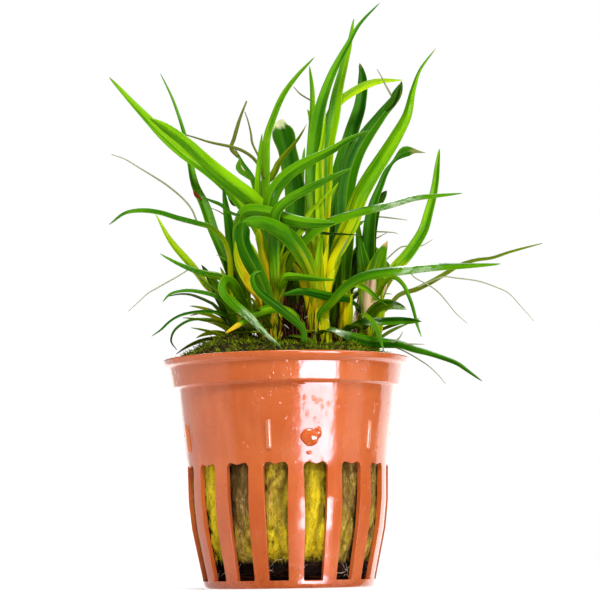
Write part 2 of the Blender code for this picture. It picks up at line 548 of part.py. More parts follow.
def leaf_feet():
    """Each leaf's point on its crown and the angle there, spread evenly round the crown."""
    feet = {}
    for crown in CROWNS:
        members = []
        for name, (home, foot, depth, _, _, _, path) in LEAVES.items():
            if home != crown:
                continue
            x, y = crown_centre(crown, foot)
            reach = path[len(path) // 2]
            members.append((math.atan2(depth - y, 1.4 * (reach[0] - x)), name, foot))
        members.sort()
        step = 2 * math.pi / len(members)
        offset = sum(angle - k * step for k, (angle, _, _) in enumerate(members)) / len(members)
        for k, (_, name, foot) in enumerate(members):
            angle = offset + k * step
            x, y = crown_centre(crown, foot)
            radius = crown_radius(crown, foot) + GAP + BLADE_THICKNESS
            feet[name] = (x + radius * math.cos(angle), y + radius * math.sin(angle), foot, angle)
    for name, (home, foot, *_) in LEAVES.items():
        if home is None:
            feet[name] = (*STRAY_FOOT, foot, -math.pi / 2)
    return feet


def lay_out_leaf(name, foot):
    """A leaf's samples from tip to foot: where they are seen, their depth, half the width seen."""
    _, _, depth, turn, _, widths, path = LEAVES[name]
    share = np.linspace(1, 0, SAMPLES)
    return {
        "name": name,
        "seen": curve_through([*path, seen_at(*foot[:3])], SAMPLES),
        "deep": foot[1] + (depth - foot[1]) * share ** (1.2 if len(path) > 9 else 0.9),
        "half": np.interp(1 - share, np.linspace(0, 1, len(widths)), widths) / 2,
        "turn": math.radians(turn),
        "angle": foot[3],
    }


def spine_of(leaf):
    return np.array([at_depth(x, z, y) for (x, z), y in zip(leaf["seen"], leaf["deep"])])


def unit(vectors):
    return vectors / np.linalg.norm(vectors, axis=-1, keepdims=True)


def eased(directions):
    """Directions along a leaf that never flip over and turn gently."""
    for k in range(1, len(directions)):
        directions[k] *= math.copysign(1.0, (directions[k] * directions[k - 1]).sum())
    for _ in range(TWIST_ROUNDS):
        directions[1:-1] = unit(directions[:-2] + 2 * directions[1:-1] + directions[2:])
    return directions


def blade_of(leaf):
    """For each sample: the spine, the direction across, the normal of the inner side, half the width."""
    spine = spine_of(leaf)
    along = unit(np.gradient(spine, axis=0))
    sight = unit(spine - np.array([0.0, -EYE_DISTANCE, EYE_HEIGHT]))
    sideways = unit(np.cross(along, sight))
    inner_side = np.cross(along, sideways)
    upright = (inner_side * (np.array([0, 0, 1.0]) + unit(-spine * [1, 1, 0]))).sum()
    sideways *= math.copysign(1.0, upright)
    facing = unit(np.cross(along, sideways))
    roll = leaf["turn"] * math.copysign(1.0, (facing * sideways[:, 2:]).sum())
    across = eased(math.cos(roll) * sideways + math.sin(roll) * facing)
    wrapped = np.array([math.sin(leaf["angle"]), -math.cos(leaf["angle"]), 0.0])
    wrapped *= math.copysign(1.0, (across[-6] * wrapped).sum())
    hold = np.clip(1 - np.linspace(1, 0, SAMPLES)[:, None] / SHEATH_SHARE, 0, 1) ** 2
    across = eased(across * (1 - hold) + wrapped * hold)
    across = unit(across - along * (across * along).sum(axis=1, keepdims=True))
    half = leaf["half"] / math.cos(leaf["turn"])
    half = half * (1 - hold[:, 0]) + FOOT_WIDTH / 2 * hold[:, 0]
    return spine, across, unit(np.cross(along, across)), half


def spread_in_depth(leaves):
    """Parts the leaves that cross as seen from the front by moving them along the line of sight only."""
    count = len(leaves)
    seen = np.array([leaf["seen"] for leaf in leaves])
    deep = np.array([leaf["deep"] for leaf in leaves])
    free = np.clip(np.linspace(1, 0, SAMPLES) / 0.15, 0, 1)
    flat, high = np.empty((count, SAMPLES)), np.empty((count, SAMPLES))
    for k, leaf in enumerate(leaves):
        _, across, _, half = blade_of(leaf)
        flat[k] = half * np.sqrt(1 - across[:, 1] ** 2) + 0.25
        high[k] = half * np.abs(across[:, 1]) + 0.3
    seen, flat, high = seen.reshape(-1, 2), flat.ravel(), high.ravel()
    crowns, pillars = list(CROWNS), []
    for name in crowns:
        for z in np.arange(CROWN_FOOT + 3, CROWNS[name][2] + 0.5, 1.0):
            x, y = crown_centre(name, z)
            pillars.append((*seen_at(x, y, z), y, crown_radius(name, z) + 0.15))
    pillars = np.array(pillars)
    seen = np.vstack([seen, pillars[:, :2]])
    flat, high = np.append(flat, pillars[:, 3]), np.append(high, pillars[:, 3])
    owner = np.append(np.repeat(np.arange(count), SAMPLES), np.full(len(pillars), -1))
    apart = np.linalg.norm(seen[:, None] - seen[None], axis=2)
    reach = flat[:, None] + flat[None]
    near = (apart < reach) & (owner[:, None] != owner[None])
    round_off = np.sqrt(np.clip(1 - (apart / reach) ** 2, 0, 1))
    need = (high[:, None] + high[None]) * round_off
    for _ in range(SPREAD_ROUNDS):
        y = np.append(deep.ravel(), pillars[:, 2])
        gap = y[:, None] - y[None]
        short = np.where(near, need - np.abs(gap), 0).clip(0)
        push = np.where(gap >= 0, short, -short)
        strongest = push.max(axis=1).clip(0) + push.min(axis=1).clip(None, 0)
        moved = strongest[: count * SAMPLES].reshape(count, SAMPLES) * 0.5 * free
        for _ in range(3):
            moved[:, 1:-1] = (moved[:, :-2] + 2 * moved[:, 1:-1] + moved[:, 2:]) / 4
        deep = deep + moved * free
    for leaf, y in zip(leaves, deep):
        leaf["deep"] = y


def make_leaf(leaf):
    """A closed blade with a pointed tip, folded along its middle."""
    spine, across, normal, half = blade_of(leaf)
    length = np.linalg.norm(np.diff(spine, axis=0), axis=1).sum()
    stations = LONG_STATIONS if length > LONG_LEAF else SHORT_STATIONS
    picks = np.linspace(0, SAMPLES - 1, stations + 1).round().astype(int)
    if LEAVES[leaf["name"]][5][0] > BLUNT_WIDTH:
        picks[1] = 1
    points = [tuple(spine[0])]
    for k in picks[1:]:
        thick = BLADE_THICKNESS / 2 * min(1.0, 0.5 + half[k])
        rise = normal[k] * BLADE_FOLD * half[k]
        points += [
            tuple(spine[k] - across[k] * half[k] + rise),
            tuple(spine[k] - normal[k] * thick),
            tuple(spine[k] + across[k] * half[k] + rise),
            tuple(spine[k] + normal[k] * thick),
        ]
    faces = [(0, 1 + j, 1 + (j + 1) % 4) for j in range(4)]
    for ring in range(stations - 1):
        low, high = 1 + ring * 4, 5 + ring * 4
        for rim in (0, 2):
            for middle in (1, 3):
                faces.append((low + rim, high + rim, high + middle))
                faces.append((low + rim, high + middle, low + middle))
    last = 1 + (stations - 1) * 4
    faces.append((last + 3, last + 2, last + 1, last))
    name = leaf["name"]
    shade = LEAVES[name][4]
    obj = add_object(name, mesh_of(name, points, faces), bpy.data.materials["leaf_" + shade])
    face_outwards(obj.data)


def main():
    for obj in list(bpy.data.objects):
        bpy.data.objects.remove(obj)
    make_pot()
    make_rockwool()
    make_moss()
    principled("crown", CROWN_YELLOW, 0.5)
    for name in CROWNS:
        make_crown(name)
    for shade, colour in LEAF_SHADES.items():
        principled("leaf_" + shade, colour, 0.4)
    feet = leaf_feet()
    leaves = [lay_out_leaf(name, feet[name]) for name in LEAVES]
    spread_in_depth(leaves)
    for leaf in leaves:
        make_leaf(leaf)


main()
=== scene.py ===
"""The looks of a potted pipewort: a slotted net pot, rockwool, moss, crowns and grass-like leaves.

Lengths are in millimetres until a mesh is made, +Z is up and the front faces -Y.
"""

import json
import math

import bmesh
import bpy
import numpy as np
from mathutils import Matrix, Vector
from mathutils import noise as mnoise

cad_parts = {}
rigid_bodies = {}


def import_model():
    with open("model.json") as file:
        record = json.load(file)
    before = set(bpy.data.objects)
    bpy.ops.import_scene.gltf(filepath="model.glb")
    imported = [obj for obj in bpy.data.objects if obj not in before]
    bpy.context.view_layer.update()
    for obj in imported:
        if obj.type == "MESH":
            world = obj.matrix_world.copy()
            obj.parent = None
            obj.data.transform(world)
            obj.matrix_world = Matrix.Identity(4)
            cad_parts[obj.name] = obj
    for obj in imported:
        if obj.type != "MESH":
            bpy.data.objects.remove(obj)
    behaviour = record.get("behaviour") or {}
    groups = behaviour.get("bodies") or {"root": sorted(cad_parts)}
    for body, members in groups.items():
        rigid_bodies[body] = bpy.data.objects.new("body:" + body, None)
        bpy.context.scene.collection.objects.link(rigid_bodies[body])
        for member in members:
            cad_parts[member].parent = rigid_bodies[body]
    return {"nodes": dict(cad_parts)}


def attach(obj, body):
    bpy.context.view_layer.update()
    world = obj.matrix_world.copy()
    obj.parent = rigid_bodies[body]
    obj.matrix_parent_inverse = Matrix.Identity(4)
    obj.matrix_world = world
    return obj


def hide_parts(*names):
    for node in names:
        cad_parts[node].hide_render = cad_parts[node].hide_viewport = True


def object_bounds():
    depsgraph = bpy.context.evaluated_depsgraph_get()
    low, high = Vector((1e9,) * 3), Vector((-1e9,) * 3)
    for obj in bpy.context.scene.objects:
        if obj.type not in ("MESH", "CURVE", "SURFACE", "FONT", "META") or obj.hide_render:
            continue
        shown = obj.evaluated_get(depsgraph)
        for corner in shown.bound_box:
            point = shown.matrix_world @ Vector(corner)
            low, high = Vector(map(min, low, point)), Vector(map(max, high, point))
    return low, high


for stray in list(bpy.data.objects):
    bpy.data.objects.remove(stray)
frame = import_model()
CAD_BOX = [list(corner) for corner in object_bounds()]
MM = 0.001

# The eye in front of the pot's axis
EYE_DISTANCE, EYE_HEIGHT = 528.0, 4.0
EYE_PITCH, EYE_YAW, EYE_ROLL = 5.889, 0.3317, 0.887
EYE_LENS = 155.88

# The pot, as in the CAD source
POT_HEIGHT, RIM_RADIUS, BAND_FOOT = 46.2, 25.2, 40.4
BAND_TOP_RADIUS, BAND_FOOT_RADIUS, FOOT_RADIUS = 24.0, 23.2, 17.1
WALL, FLOOR = 1.0, 1.1
SLOTS, SLOT_FOOT, SLOT_HEAD, FRONT_SLOT = 16, 1.6, 24.7, -6.6
SLOT_FOOT_WIDTH, SLOT_HEAD_WIDTH, SLOT_CORNER = 3.9, 4.9, 0.8
BAR_ANGLES = (-70, -10, 50, 110, 170, 230)
BAR_FOOT, BAR_HEAD = 27.2, 33.0
DRAINS, DRAIN_INNER, DRAIN_OUTER, DRAIN_WIDTH = 6, 6.5, 13.0, 2.2
MOSS_RADIUS, MOSS_EDGE, MOSS_RISE = 22.3, 45.9, 5.2
CROWN_FOOT = 45.2

# The angle of the front slot, and from one slot to the next
SLOT_START, SLOT_TURN = math.radians(FRONT_SLOT - 90), 2 * math.pi / SLOTS

# Each crown: where it stands, how far its top leans, the height of its top, its radius and its looks
CROWNS = {
    "a": ((6.3, -4.0), (0.3, 0.0), 62.5, 1.75, "green"),
    "b": ((11.3, 0.0), (1.4, 0.5), 58.5, 1.1, "yellow"),
    "c": ((15.4, 2.0), (2.2, 0.8), 61.0, 1.85, "pale"),
    "d": ((-2.6, -4.0), (-0.4, 0.0), 59.5, 1.5, "yellow"),
    "e": ((-8.6, 0.5), (-0.6, 0.0), 57.5, 1.6, "yellow"),
    "f": ((0.5, 6.0), (-0.6, 1.0), 60.5, 1.6, "green"),
    "g": ((8.5, 8.0), (0.4, 1.2), 61.0, 1.6, "green"),
}


# Meshes


def linked(name, data):
    """A new object in the scene."""
    obj = bpy.data.objects.new(name, data)
    bpy.context.scene.collection.objects.link(obj)
    return obj


def add(name, points, faces, material, uv=None, floats=None, replaces=()):
    """A piece of the object from points in millimetres. uv and floats hold a row or value for each point."""
    mesh = bpy.data.meshes.new(name)
    mesh.from_pydata(np.clip(np.asarray(points, float) * MM, *CAD_BOX).tolist(), [], faces)
    mesh.materials.append(material)
    mesh.shade_smooth()
    corners = np.empty(len(mesh.loops), int)
    mesh.loops.foreach_get("vertex_index", corners)
    for label, rows in (uv or {}).items():
        layer = mesh.uv_layers.new(name=label)
        layer.data.foreach_set("uv", np.asarray(rows, np.float32)[corners].ravel())
    for label, values in (floats or {}).items():
        held = mesh.attributes.new(label, "FLOAT", "POINT")
        held.data.foreach_set("value", np.asarray(values, np.float32))
    obj = linked(name, mesh)
    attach(obj, "root")
    if replaces:
        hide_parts(*replaces)
    return obj


def limited(value):
    """The value, kept between 0 and 1."""
    return min(1.0, max(0.0, value))


def unit(vectors):
    return vectors / np.maximum(np.linalg.norm(vectors, axis=-1, keepdims=True), 1e-9)


def polar(radius, angle, z):
    return radius * math.cos(angle), radius * math.sin(angle), z


def turns(count):
    """Angles once round, evenly spaced."""
    return [2 * math.pi * k / count for k in range(count)]


def lengths_along(line):
    """How far along a line each of its points lies."""
    return np.concatenate([[0], np.cumsum(np.linalg.norm(np.diff(line, axis=0), axis=1))])


def directions(line):
    return unit(np.gradient(line, axis=0))


def across_line(line, vectors):
    """The part of each vector that lies square to the line."""
    along = directions(line)
    return unit(vectors - along * (vectors * along).sum(axis=1, keepdims=True))


def curve_through(points, count):
    """Evenly spaced points on a smooth curve through the given ones."""
    points = np.array(points, float)
    padded = np.vstack([2 * points[0] - points[1], points, 2 * points[-1] - points[-2]])
    t = np.linspace(0, 1, 12, endpoint=False)[:, None]
    dense = []
    for a, b, c, d in zip(padded, padded[1:], padded[2:], padded[3:]):
        curve = 2 * b + (c - a) * t + (2 * a - 5 * b + 4 * c - d) * t**2
        dense.append(0.5 * (curve + (3 * b - a - 3 * c + d) * t**3))
    dense = np.vstack([*dense, points[-1:]])
    length = lengths_along(dense)
    wanted = np.linspace(0, length[-1], count)
    return np.stack([np.interp(wanted, length, column) for column in dense.T], axis=1)


def frames_along(line):
    """Two directions across a line at each of its points, which turn as little as they can."""
    along = directions(line)
    side = np.cross(along[0], [0.0, 0.0, 1.0])
    if np.linalg.norm(side) < 0.1:
        side = np.cross(along[0], [1.0, 0.0, 0.0])
    sides = []
    for direction in along:
        side = side - direction * side.dot(direction)
        side = side / np.linalg.norm(side)
        sides.append(side)
    return np.array(sides), np.cross(along, sides)


def ring_sides(rings, count, first=0, flip=False):
    """The faces between rings of as many points each, numbered on from first. flip turns the faces over."""
    faces = []
    for low in range(first, first + (rings - 1) * count, count):
        for k in range(count):
            j = (k + 1) % count
            faces.append((low + k, low + j, low + count + j, low + count + k))
    return [(a, d, c, b) for a, b, c, d in faces] if flip else faces


def ring_ends(rings, count, first=0, flip=False):
    """One flat face on the first of such rings and one on the last."""
    foot, head = range(first, first + count), range(first + (rings - 1) * count, first + rings * count)
    return [tuple(foot), tuple(reversed(head))] if flip else [tuple(reversed(foot)), tuple(head)]


def fan(point, first, count, flip=False):
    """Triangles between a point and a ring."""
    pairs = [(first + k, first + (k + 1) % count) for k in range(count)]
    return [(point, b, a) if flip else (point, a, b) for a, b in pairs]


class Strands:
    """Many thin round strands gathered into one mesh."""

    def __init__(self):
        self.points, self.faces, self.uv, self.tone, self.count = [], [], [], [], 0

    def add(self, line, radii, sides, tone):
        line = np.asarray(line, float)
        rings = len(line)
        share = np.linspace(0, 1, rings)
        radii = np.interp(share, np.linspace(0, 1, len(radii)), radii)
        one, two = frames_along(line)
        angles = np.array(turns(sides))[:, None]
        ring = one[:, None] * np.cos(angles) + two[:, None] * np.sin(angles)
        self.points.append((line[:, None] + ring * radii[:, None, None]).reshape(-1, 3))
        self.faces += ring_sides(rings, sides, self.count) + ring_ends(rings, sides, self.count)
        self.uv.append(np.stack([np.repeat(share, sides), np.tile(np.arange(sides) / sides, rings)], axis=1))
        self.tone.append(np.full(rings * sides, tone))
        self.count += rings * sides

    def build(self, name, material, slot):
        add(name, np.vstack(self.points), self.faces, material,
            uv={"UVMap": np.vstack(self.uv)}, floats={"tone": np.concatenate(self.tone)})


# Materials


def linear(shade):
    """A colour that is given as the screen shows it, from 0 to 255, as linear light."""
    parts = [part / 255 for part in shade]
    return (*[p / 12.92 if p <= 0.04045 else ((p + 0.055) / 1.055) ** 2.4 for p in parts], 1.0)


class Nodes:
    """A node tree, with short calls for its usual nodes."""

    def __init__(self, tree):
        self.nodes, self.links = tree.nodes, tree.links

    def feed(self, socket, value):
        if isinstance(value, bpy.types.NodeSocket):
            self.links.new(value, socket)
        else:
            socket.default_value = value

    def node(self, kind, inputs, **settings):
        made = self.nodes.new(kind)
        for label, value in settings.items():
            setattr(made, label, value)
        for label, value in inputs.items():
            self.feed(made.inputs[label], value)
        return made

    def maths(self, operation, *values):
        return self.node("ShaderNodeMath", dict(enumerate(values)), operation=operation).outputs["Value"]

    def add(self, first, second):
        return self.maths("ADD", first, second)

    def times(self, first, second):
        return self.maths("MULTIPLY", first, second)

    def parts(self, vector):
        return self.node("ShaderNodeSeparateXYZ", {"Vector": vector}).outputs

    def mix(self, factor, first, second, blend="MIX"):
        """Colours of three parts are as the screen shows them, and those of four parts are linear light."""
        made = self.node("ShaderNodeMix", {}, data_type="RGBA", blend_type=blend)
        sockets = {socket.name: socket for socket in made.inputs if socket.enabled}
        for label, value in (("Factor", factor), ("A", first), ("B", second)):
            screen = isinstance(value, tuple) and len(value) == 3
            self.feed(sockets[label], linear(value) if screen else value)
        return next(socket for socket in made.outputs if socket.enabled)


class Looks(Nodes):
    """A material's node tree. What is fixed is set on its shader."""

    def __init__(self, name, **fixed):
        self.material = bpy.data.materials.new(name)
        self.material.use_nodes = True
        super().__init__(self.material.node_tree)
        self.shader = self.nodes["Principled BSDF"]
        for label, value in fixed.items():
            self.shader.inputs[label.replace("_", " ")].default_value = value

    def put(self, label, socket):
        self.links.new(socket, self.shader.inputs[label])

    def value(self, label):
        """What the mesh holds under this name for each of its points."""
        return self.node("ShaderNodeAttribute", {}, attribute_name=label).outputs["Fac"]

    def where(self, first=1, second=1, on=""):
        """Coordinates along and across a UV map, or else the object's own across and up, in millimetres."""
        if on:
            source, scale = self.node("ShaderNodeUVMap", {}, uv_map=on).outputs["UV"], (first, second, 1)
        else:
            source = self.node("ShaderNodeTexCoord", {}).outputs["Object"]
            scale = (first / MM, first / MM, second / MM)
        return self.node("ShaderNodeMapping", {"Vector": source, "Scale": scale}).outputs["Vector"]

    def clouds(self, first, second, detail=3.0, roughness=0.55, on=""):
        place = self.where(first, second, on)
        inputs = {"Vector": place, "Scale": 1.0, "Detail": detail, "Roughness": roughness}
        return self.node("ShaderNodeTexNoise", inputs).outputs["Fac"]

    def span(self, value, low, high, to_low=0.0, to_high=1.0):
        inputs = {"Value": value, "From Min": low, "From Max": high, "To Min": to_low, "To Max": to_high}
        return self.node("ShaderNodeMapRange", inputs).outputs["Result"]

    def bump(self, height, strength, distance, under=None):
        inputs = {"Height": height, "Strength": strength, "Distance": distance * MM}
        if under:
            inputs["Normal"] = under
        return self.node("ShaderNodeBump", inputs).outputs["Normal"]


def leaf_looks(name, deep, light, base, tip):
    """A leaf: mottled green with veins, blanched and dry where its mesh says, with painted light and shade:
    one half of its fold lighter and the other darker, painted highlights along its rims, along its midrib a
    painted highlight on some leaves and painted shade on others, and a glossier coat with a painted sheen
    where its mesh says.
    """
    look = Looks(name, IOR=1.4, Specular_IOR_Level=0.08, Coat_Roughness=0.14)
    _, across, _ = look.parts(look.where(on="UVMap"))
    own, pale, wet, dry = (look.value(label) for label in ("own", "pale", "wet", "dry"))
    patches = look.clouds(0.07, 0.35, on="mm")
    veins = look.clouds(0.04, 1.5, 1.0, on="mm")
    fine = look.clouds(0.1, 3.0, 0.0, on="mm")
    # Painted light and shade: one half of the blade's fold is lighter and the other darker, on a side that
    # each leaf draws.
    half = look.times(look.span(across, 0.38, 0.62, -0.5, 0.5), look.span(own, 0.45, 0.55, -0.8, 0.8))
    blend = look.add(look.span(patches, 0.36, 0.64), look.span(veins, 0.35, 0.7, -0.3, 0.3))
    blend = look.add(look.add(blend, half), look.span(own, 0.0, 1.0, -0.25, 0.25))
    green = look.mix(look.span(blend, -0.1, 1.2), deep, light)
    green = look.mix(look.span(fine, 0.5, 0.75, 0.0, 0.35), green, light)
    # Painted highlights along the rims, and along the midrib a painted highlight on some leaves and painted
    # shade on others.
    middle = look.maths("ABSOLUTE", look.maths("SUBTRACT", across, 0.5))
    painted_highlight = look.mix(0.42, light, (206, 226, 66))
    painted_midrib = look.mix(look.span(own, 0.5, 0.6), deep, painted_highlight)
    green = look.mix(look.span(middle, 0.06, 0.0, 0.0, 0.27), green, painted_midrib)
    green = look.mix(look.span(middle, 0.44, 0.485, 0.0, 0.4), green, painted_highlight)
    streaked = look.times(look.span(veins, 0.3, 0.7, -0.5, 0.5), look.span(pale, 0.0, 0.3))
    green = look.mix(look.span(look.add(pale, streaked), 0.05, 0.95, 0.0, 0.95), green, base)
    # A painted sheen: along the stretch that the mesh marks, the colour is mixed towards a pale grey-green.
    film = look.clouds(0.5, 1.6, 4.0, 0.7, on="mm")
    shine = look.times(wet, look.span(film, 0.42, 0.58))
    green = look.mix(look.times(shine, 0.55), green, (206, 220, 186))
    ragged = look.add(dry, look.span(veins, 0.3, 0.7, -0.25, 0.25))
    look.put("Base Color", look.mix(look.span(ragged, 0.3, 0.62), green, tip))
    damp = look.clouds(0.22, 0.22, 2.0)
    dull = look.span(damp, 0.35, 0.62, 0.3, 0.55)
    look.put("Roughness", look.maths("SUBTRACT", dull, look.times(wet, 0.2)))
    look.put("Coat Weight", look.span(look.add(wet, look.span(damp, 0.6, 0.7, 0.0, 0.2)), 0.0, 1.0, 0.0, 0.6))
    look.put("Normal", look.bump(veins, 0.5, 0.14, look.bump(look.clouds(0.4, 0.4), 0.4, 0.35)))
    return look.material


def crown_looks(name, low, high, streak):
    look = Looks(name, IOR=1.42, Roughness=0.4)
    share, _, _ = look.parts(look.where(on="UVMap"))
    stripes = look.clouds(1.4, 26.0, on="UVMap")
    spots = look.clouds(1.1, 0.5, 4.0)
    height = look.add(share, look.span(stripes, 0.3, 0.7, -0.2, 0.2))
    body = look.mix(look.span(height, 0.1, 0.85), low, high)
    body = look.mix(look.span(stripes, 0.52, 0.75, 0.0, 0.65), body, streak)
    look.put("Base Color", look.mix(look.span(spots, 0.58, 0.72, 0.0, 0.7), body, (92, 58, 26)))
    look.put("Normal", look.bump(stripes, 0.6, 0.25))
    return look.material


def strand_looks(name, first, second, roughness=0.6):
    """Hairs, twigs and fibres: two colours by each strand's own tone and along it."""
    look = Looks(name, IOR=1.4, Specular_IOR_Level=0.15)
    patches = look.clouds(7.0, 2.0, 2.0, on="UVMap")
    share = look.add(look.value("tone"), look.span(patches, 0.3, 0.7, -0.2, 0.2))
    look.put("Base Color", look.mix(share, first, second))
    look.put("Roughness", look.span(patches, 0.3, 0.7, roughness - 0.1, roughness + 0.15))
    return look.material


def pot_looks():
    """Shiny plastic with streaks and specks, darker towards its foot, raised bars with a painted highlight
    and fine beads of water.
    """
    look = Looks("terracotta_plastic", IOR=1.45, Coat_Weight=0.6, Coat_Roughness=0.03, Coat_IOR=1.45)
    wide = look.clouds(0.05, 0.08)
    streaks = look.clouds(0.5, 0.05)
    specks = look.clouds(1.7, 1.2, 4.0, 0.7)
    pale = look.clouds(2.6, 2.1, 3.0, 0.7)
    _, _, height = look.parts(look.where())
    body = look.mix(look.span(wide, 0.35, 0.65), (184, 84, 34), (196, 98, 46))
    body = look.mix(look.span(streaks, 0.5, 0.8, 0.0, 0.3), body, (214, 124, 78))
    body = look.mix(look.span(specks, 0.66, 0.72, 0.0, 0.75), body, (118, 48, 20))
    body = look.mix(look.span(pale, 0.69, 0.77, 0.0, 0.6), body, (236, 190, 160))
    # Darker towards the foot of the wall, mottled by the specks.
    foot_darkening = look.add(look.span(height, 0.5, 5.0, 0.55, 0.0), look.span(specks, 0.35, 0.65, -0.3, 0.3))
    body = look.mix(look.span(foot_darkening, 0.2, 0.9, 0.0, 0.6), body, (120, 48, 24))
    # The raised bars get a painted highlight: a paler colour for the brighter light that their faces reflect.
    look.put("Base Color", look.mix(look.times(look.value("raised"), 0.45), body, (214, 136, 92)))
    film = look.clouds(0.16, 0.09)
    look.put("Roughness", look.span(film, 0.35, 0.65, 0.13, 0.3))
    inputs = {"Vector": look.where(0.75, 0.55), "Scale": 1.0}
    beads = look.node("ShaderNodeTexVoronoi", inputs).outputs["Distance"]
    few = look.span(look.clouds(0.13, 0.11, 2.0), 0.54, 0.64)
    drops = look.times(look.span(beads, 0.0, 0.34, 1.0, 0.0), few)
    waves = look.bump(film, 0.16, 1.0, look.bump(specks, 0.08, 0.12))
    look.put("Normal", waves)
    look.put("Coat Normal", look.bump(drops, 0.6, 0.35, waves))
    return look.material


def rockwool_looks():
    """Rockwool, yellow where algae live on it and tan where not, by the tone that each of its lumps has."""
    look = Looks("rockwool", Roughness=0.9, Specular_IOR_Level=0.25)
    threads = look.clouds(2.2, 0.3, 5.0, 0.75)
    blots = look.clouds(0.3, 0.16, 4.0)
    painted_pit_shade = look.clouds(1.1, 0.5, 4.0, 0.7)
    hue = look.add(look.value("tone"), look.span(blots, 0.35, 0.65, -0.3, 0.3))
    yellow = look.span(hue, 0.1, 0.9)
    body = look.mix(yellow, (146, 110, 44), (220, 192, 8))
    bright = look.mix(yellow, (222, 186, 122), (254, 234, 62))
    body = look.mix(look.span(threads, 0.44, 0.66), body, bright)
    # Dark mottles are painted shade in the pits of the wool.
    body = look.mix(look.span(painted_pit_shade, 0.5, 0.38, 0.0, 0.5), body, (60, 50, 6))
    body = look.mix(look.span(hue, 0.1, -0.5, 0.0, 0.75), body, (58, 42, 10))
    # Painted shade: near black where the mesh says, at the heel, in the folds and towards the sides of the
    # slots.
    look.put("Base Color", look.mix(look.value("deep"), body, (18, 12, 4)))
    look.put("Normal", look.bump(threads, 0.9, 0.5))
    return look.material


def moss_looks():
    look = Looks("moss", Roughness=0.95, Specular_IOR_Level=0.25)
    clumps = look.clouds(0.35, 0.35, 4.0, 0.7)
    brown = look.clouds(0.16, 0.16)
    body = look.mix(look.span(clumps, 0.4, 0.62), (22, 18, 4), (58, 58, 8))
    look.put("Base Color", look.mix(look.span(brown, 0.47, 0.56, 0.0, 0.85), body, (66, 40, 12)))
    look.put("Normal", look.bump(look.clouds(1.5, 1.5, 4.0), 0.9, 0.6))
    return look.material


def water_looks():
    """Water on the wall, which has the colour of the plastic behind it and shines."""
    look = Looks("water", IOR=1.45, Roughness=0.06, Coat_Weight=0.7, Coat_Roughness=0.02, Coat_IOR=1.45)
    ripple = look.clouds(1.2, 1.2)
    look.put("Base Color", look.mix(look.span(ripple, 0.35, 0.65), (186, 80, 30), (206, 104, 52)))
    look.put("Normal", look.bump(ripple, 0.15, 0.1))
    return look.material


# Each style's deep and light green, its blanched foot and its dry tip
LEAF_TONES = {
    "lime": ((98, 148, 0), (166, 200, 2), (218, 190, 8), (184, 158, 92)),
    "fresh": ((62, 124, 0), (120, 174, 0), (214, 206, 4), (186, 140, 84)),
    "green": ((42, 100, 0), (88, 148, 0), (170, 176, 4), (176, 156, 96)),
    "ripe": ((46, 106, 0), (96, 156, 0), (170, 176, 4), (212, 178, 30)),
    "deep": ((20, 72, 0), (56, 118, 0), (110, 138, 4), (116, 120, 62)),
    "dark": ((12, 46, 0), (36, 86, 0), (80, 100, 4), (120, 110, 60)),
    "gold": ((116, 156, 2), (172, 190, 4), (226, 172, 22), (184, 140, 80)),
    "pale": ((140, 104, 62), (216, 196, 148), (224, 190, 150), (170, 140, 90)),
    "cut": ((26, 78, 0), (60, 118, 0), (110, 138, 4), (198, 204, 150)),
    "rust": ((96, 18, 4), (140, 52, 16), (140, 52, 16), (110, 40, 16)),
    "olive": ((66, 86, 0), (110, 132, 6), (162, 154, 20), (152, 120, 62)),
}
# The foot, the head and the streaks of each kind of crown
CROWN_TONES = {
    "green": ((212, 166, 34), (172, 186, 10), (122, 140, 12)),
    "yellow": ((214, 168, 40), (190, 190, 20), (140, 110, 24)),
    "pale": ((206, 176, 132), (150, 150, 50), (136, 92, 56)),
}


# Pot


WALL_HEIGHTS = (0.0, 2.3, 6.5, 12.0, 17.5, 25.0, BAND_FOOT)
WALL_RADII = (17.3, 17.6, 18.5, 19.65, 20.25, 20.4, 22.1)
NECK_RADIUS = WALL_RADII[-1]
# The rings of the wall between the slots and the band
NECK_HEIGHTS = (25.6, 27.0, 29.0, 31.5, 34.0, 36.5, 38.5)
BAR_COLUMNS, SLOT_COLUMNS, SLOT_ROWS = 5, 10, 26
# The small dip in the middle of a slot's head
NOTCH_DEPTH, NOTCH_REACH = 0.38, 0.8
# Each column's place across its slot, from -1 to 1, or 2 on a bar
COLUMN_PLACES = np.tile([*np.linspace(-1, 1, SLOT_COLUMNS + 1), *[2.0] * (BAR_COLUMNS - 1)], SLOTS)
# A raised bar's section, sideways and proud of the wall, and how proud it is at each height
BAR_SIDE = ((0.6, -0.4), (0.58, 0.06), (0.48, 0.26), (0.28, 0.42))
BAR_SECTION = (*[(-x, proud) for x, proud in BAR_SIDE], (0.0, 0.5), *reversed(BAR_SIDE))
BAR_ENDS = ((0.0, 0.0), (0.12, 0.75), (0.4, 1.0))
EDGE_BEVEL, EDGE_ANGLE = 0.16, 50


def wall_radius(z):
    return np.interp(z, WALL_HEIGHTS, WALL_RADII)


def rounded(corners, radius, steps=3):
    """A line with each corner between its ends turned into a small arc."""
    corners = np.array(corners, float)
    line = [corners[0]]
    for before, corner, after in zip(corners, corners[1:], corners[2:]):
        reach = min(radius, 0.45 * np.linalg.norm(corner - before), 0.45 * np.linalg.norm(after - corner))
        start, end = corner + unit(before - corner) * reach, corner + unit(after - corner) * reach
        for t in np.linspace(0, 1, steps + 1):
            line.append((1 - t) ** 2 * start + 2 * t * (1 - t) * corner + t**2 * end)
    line.append(corners[-1])
    return np.array(line)


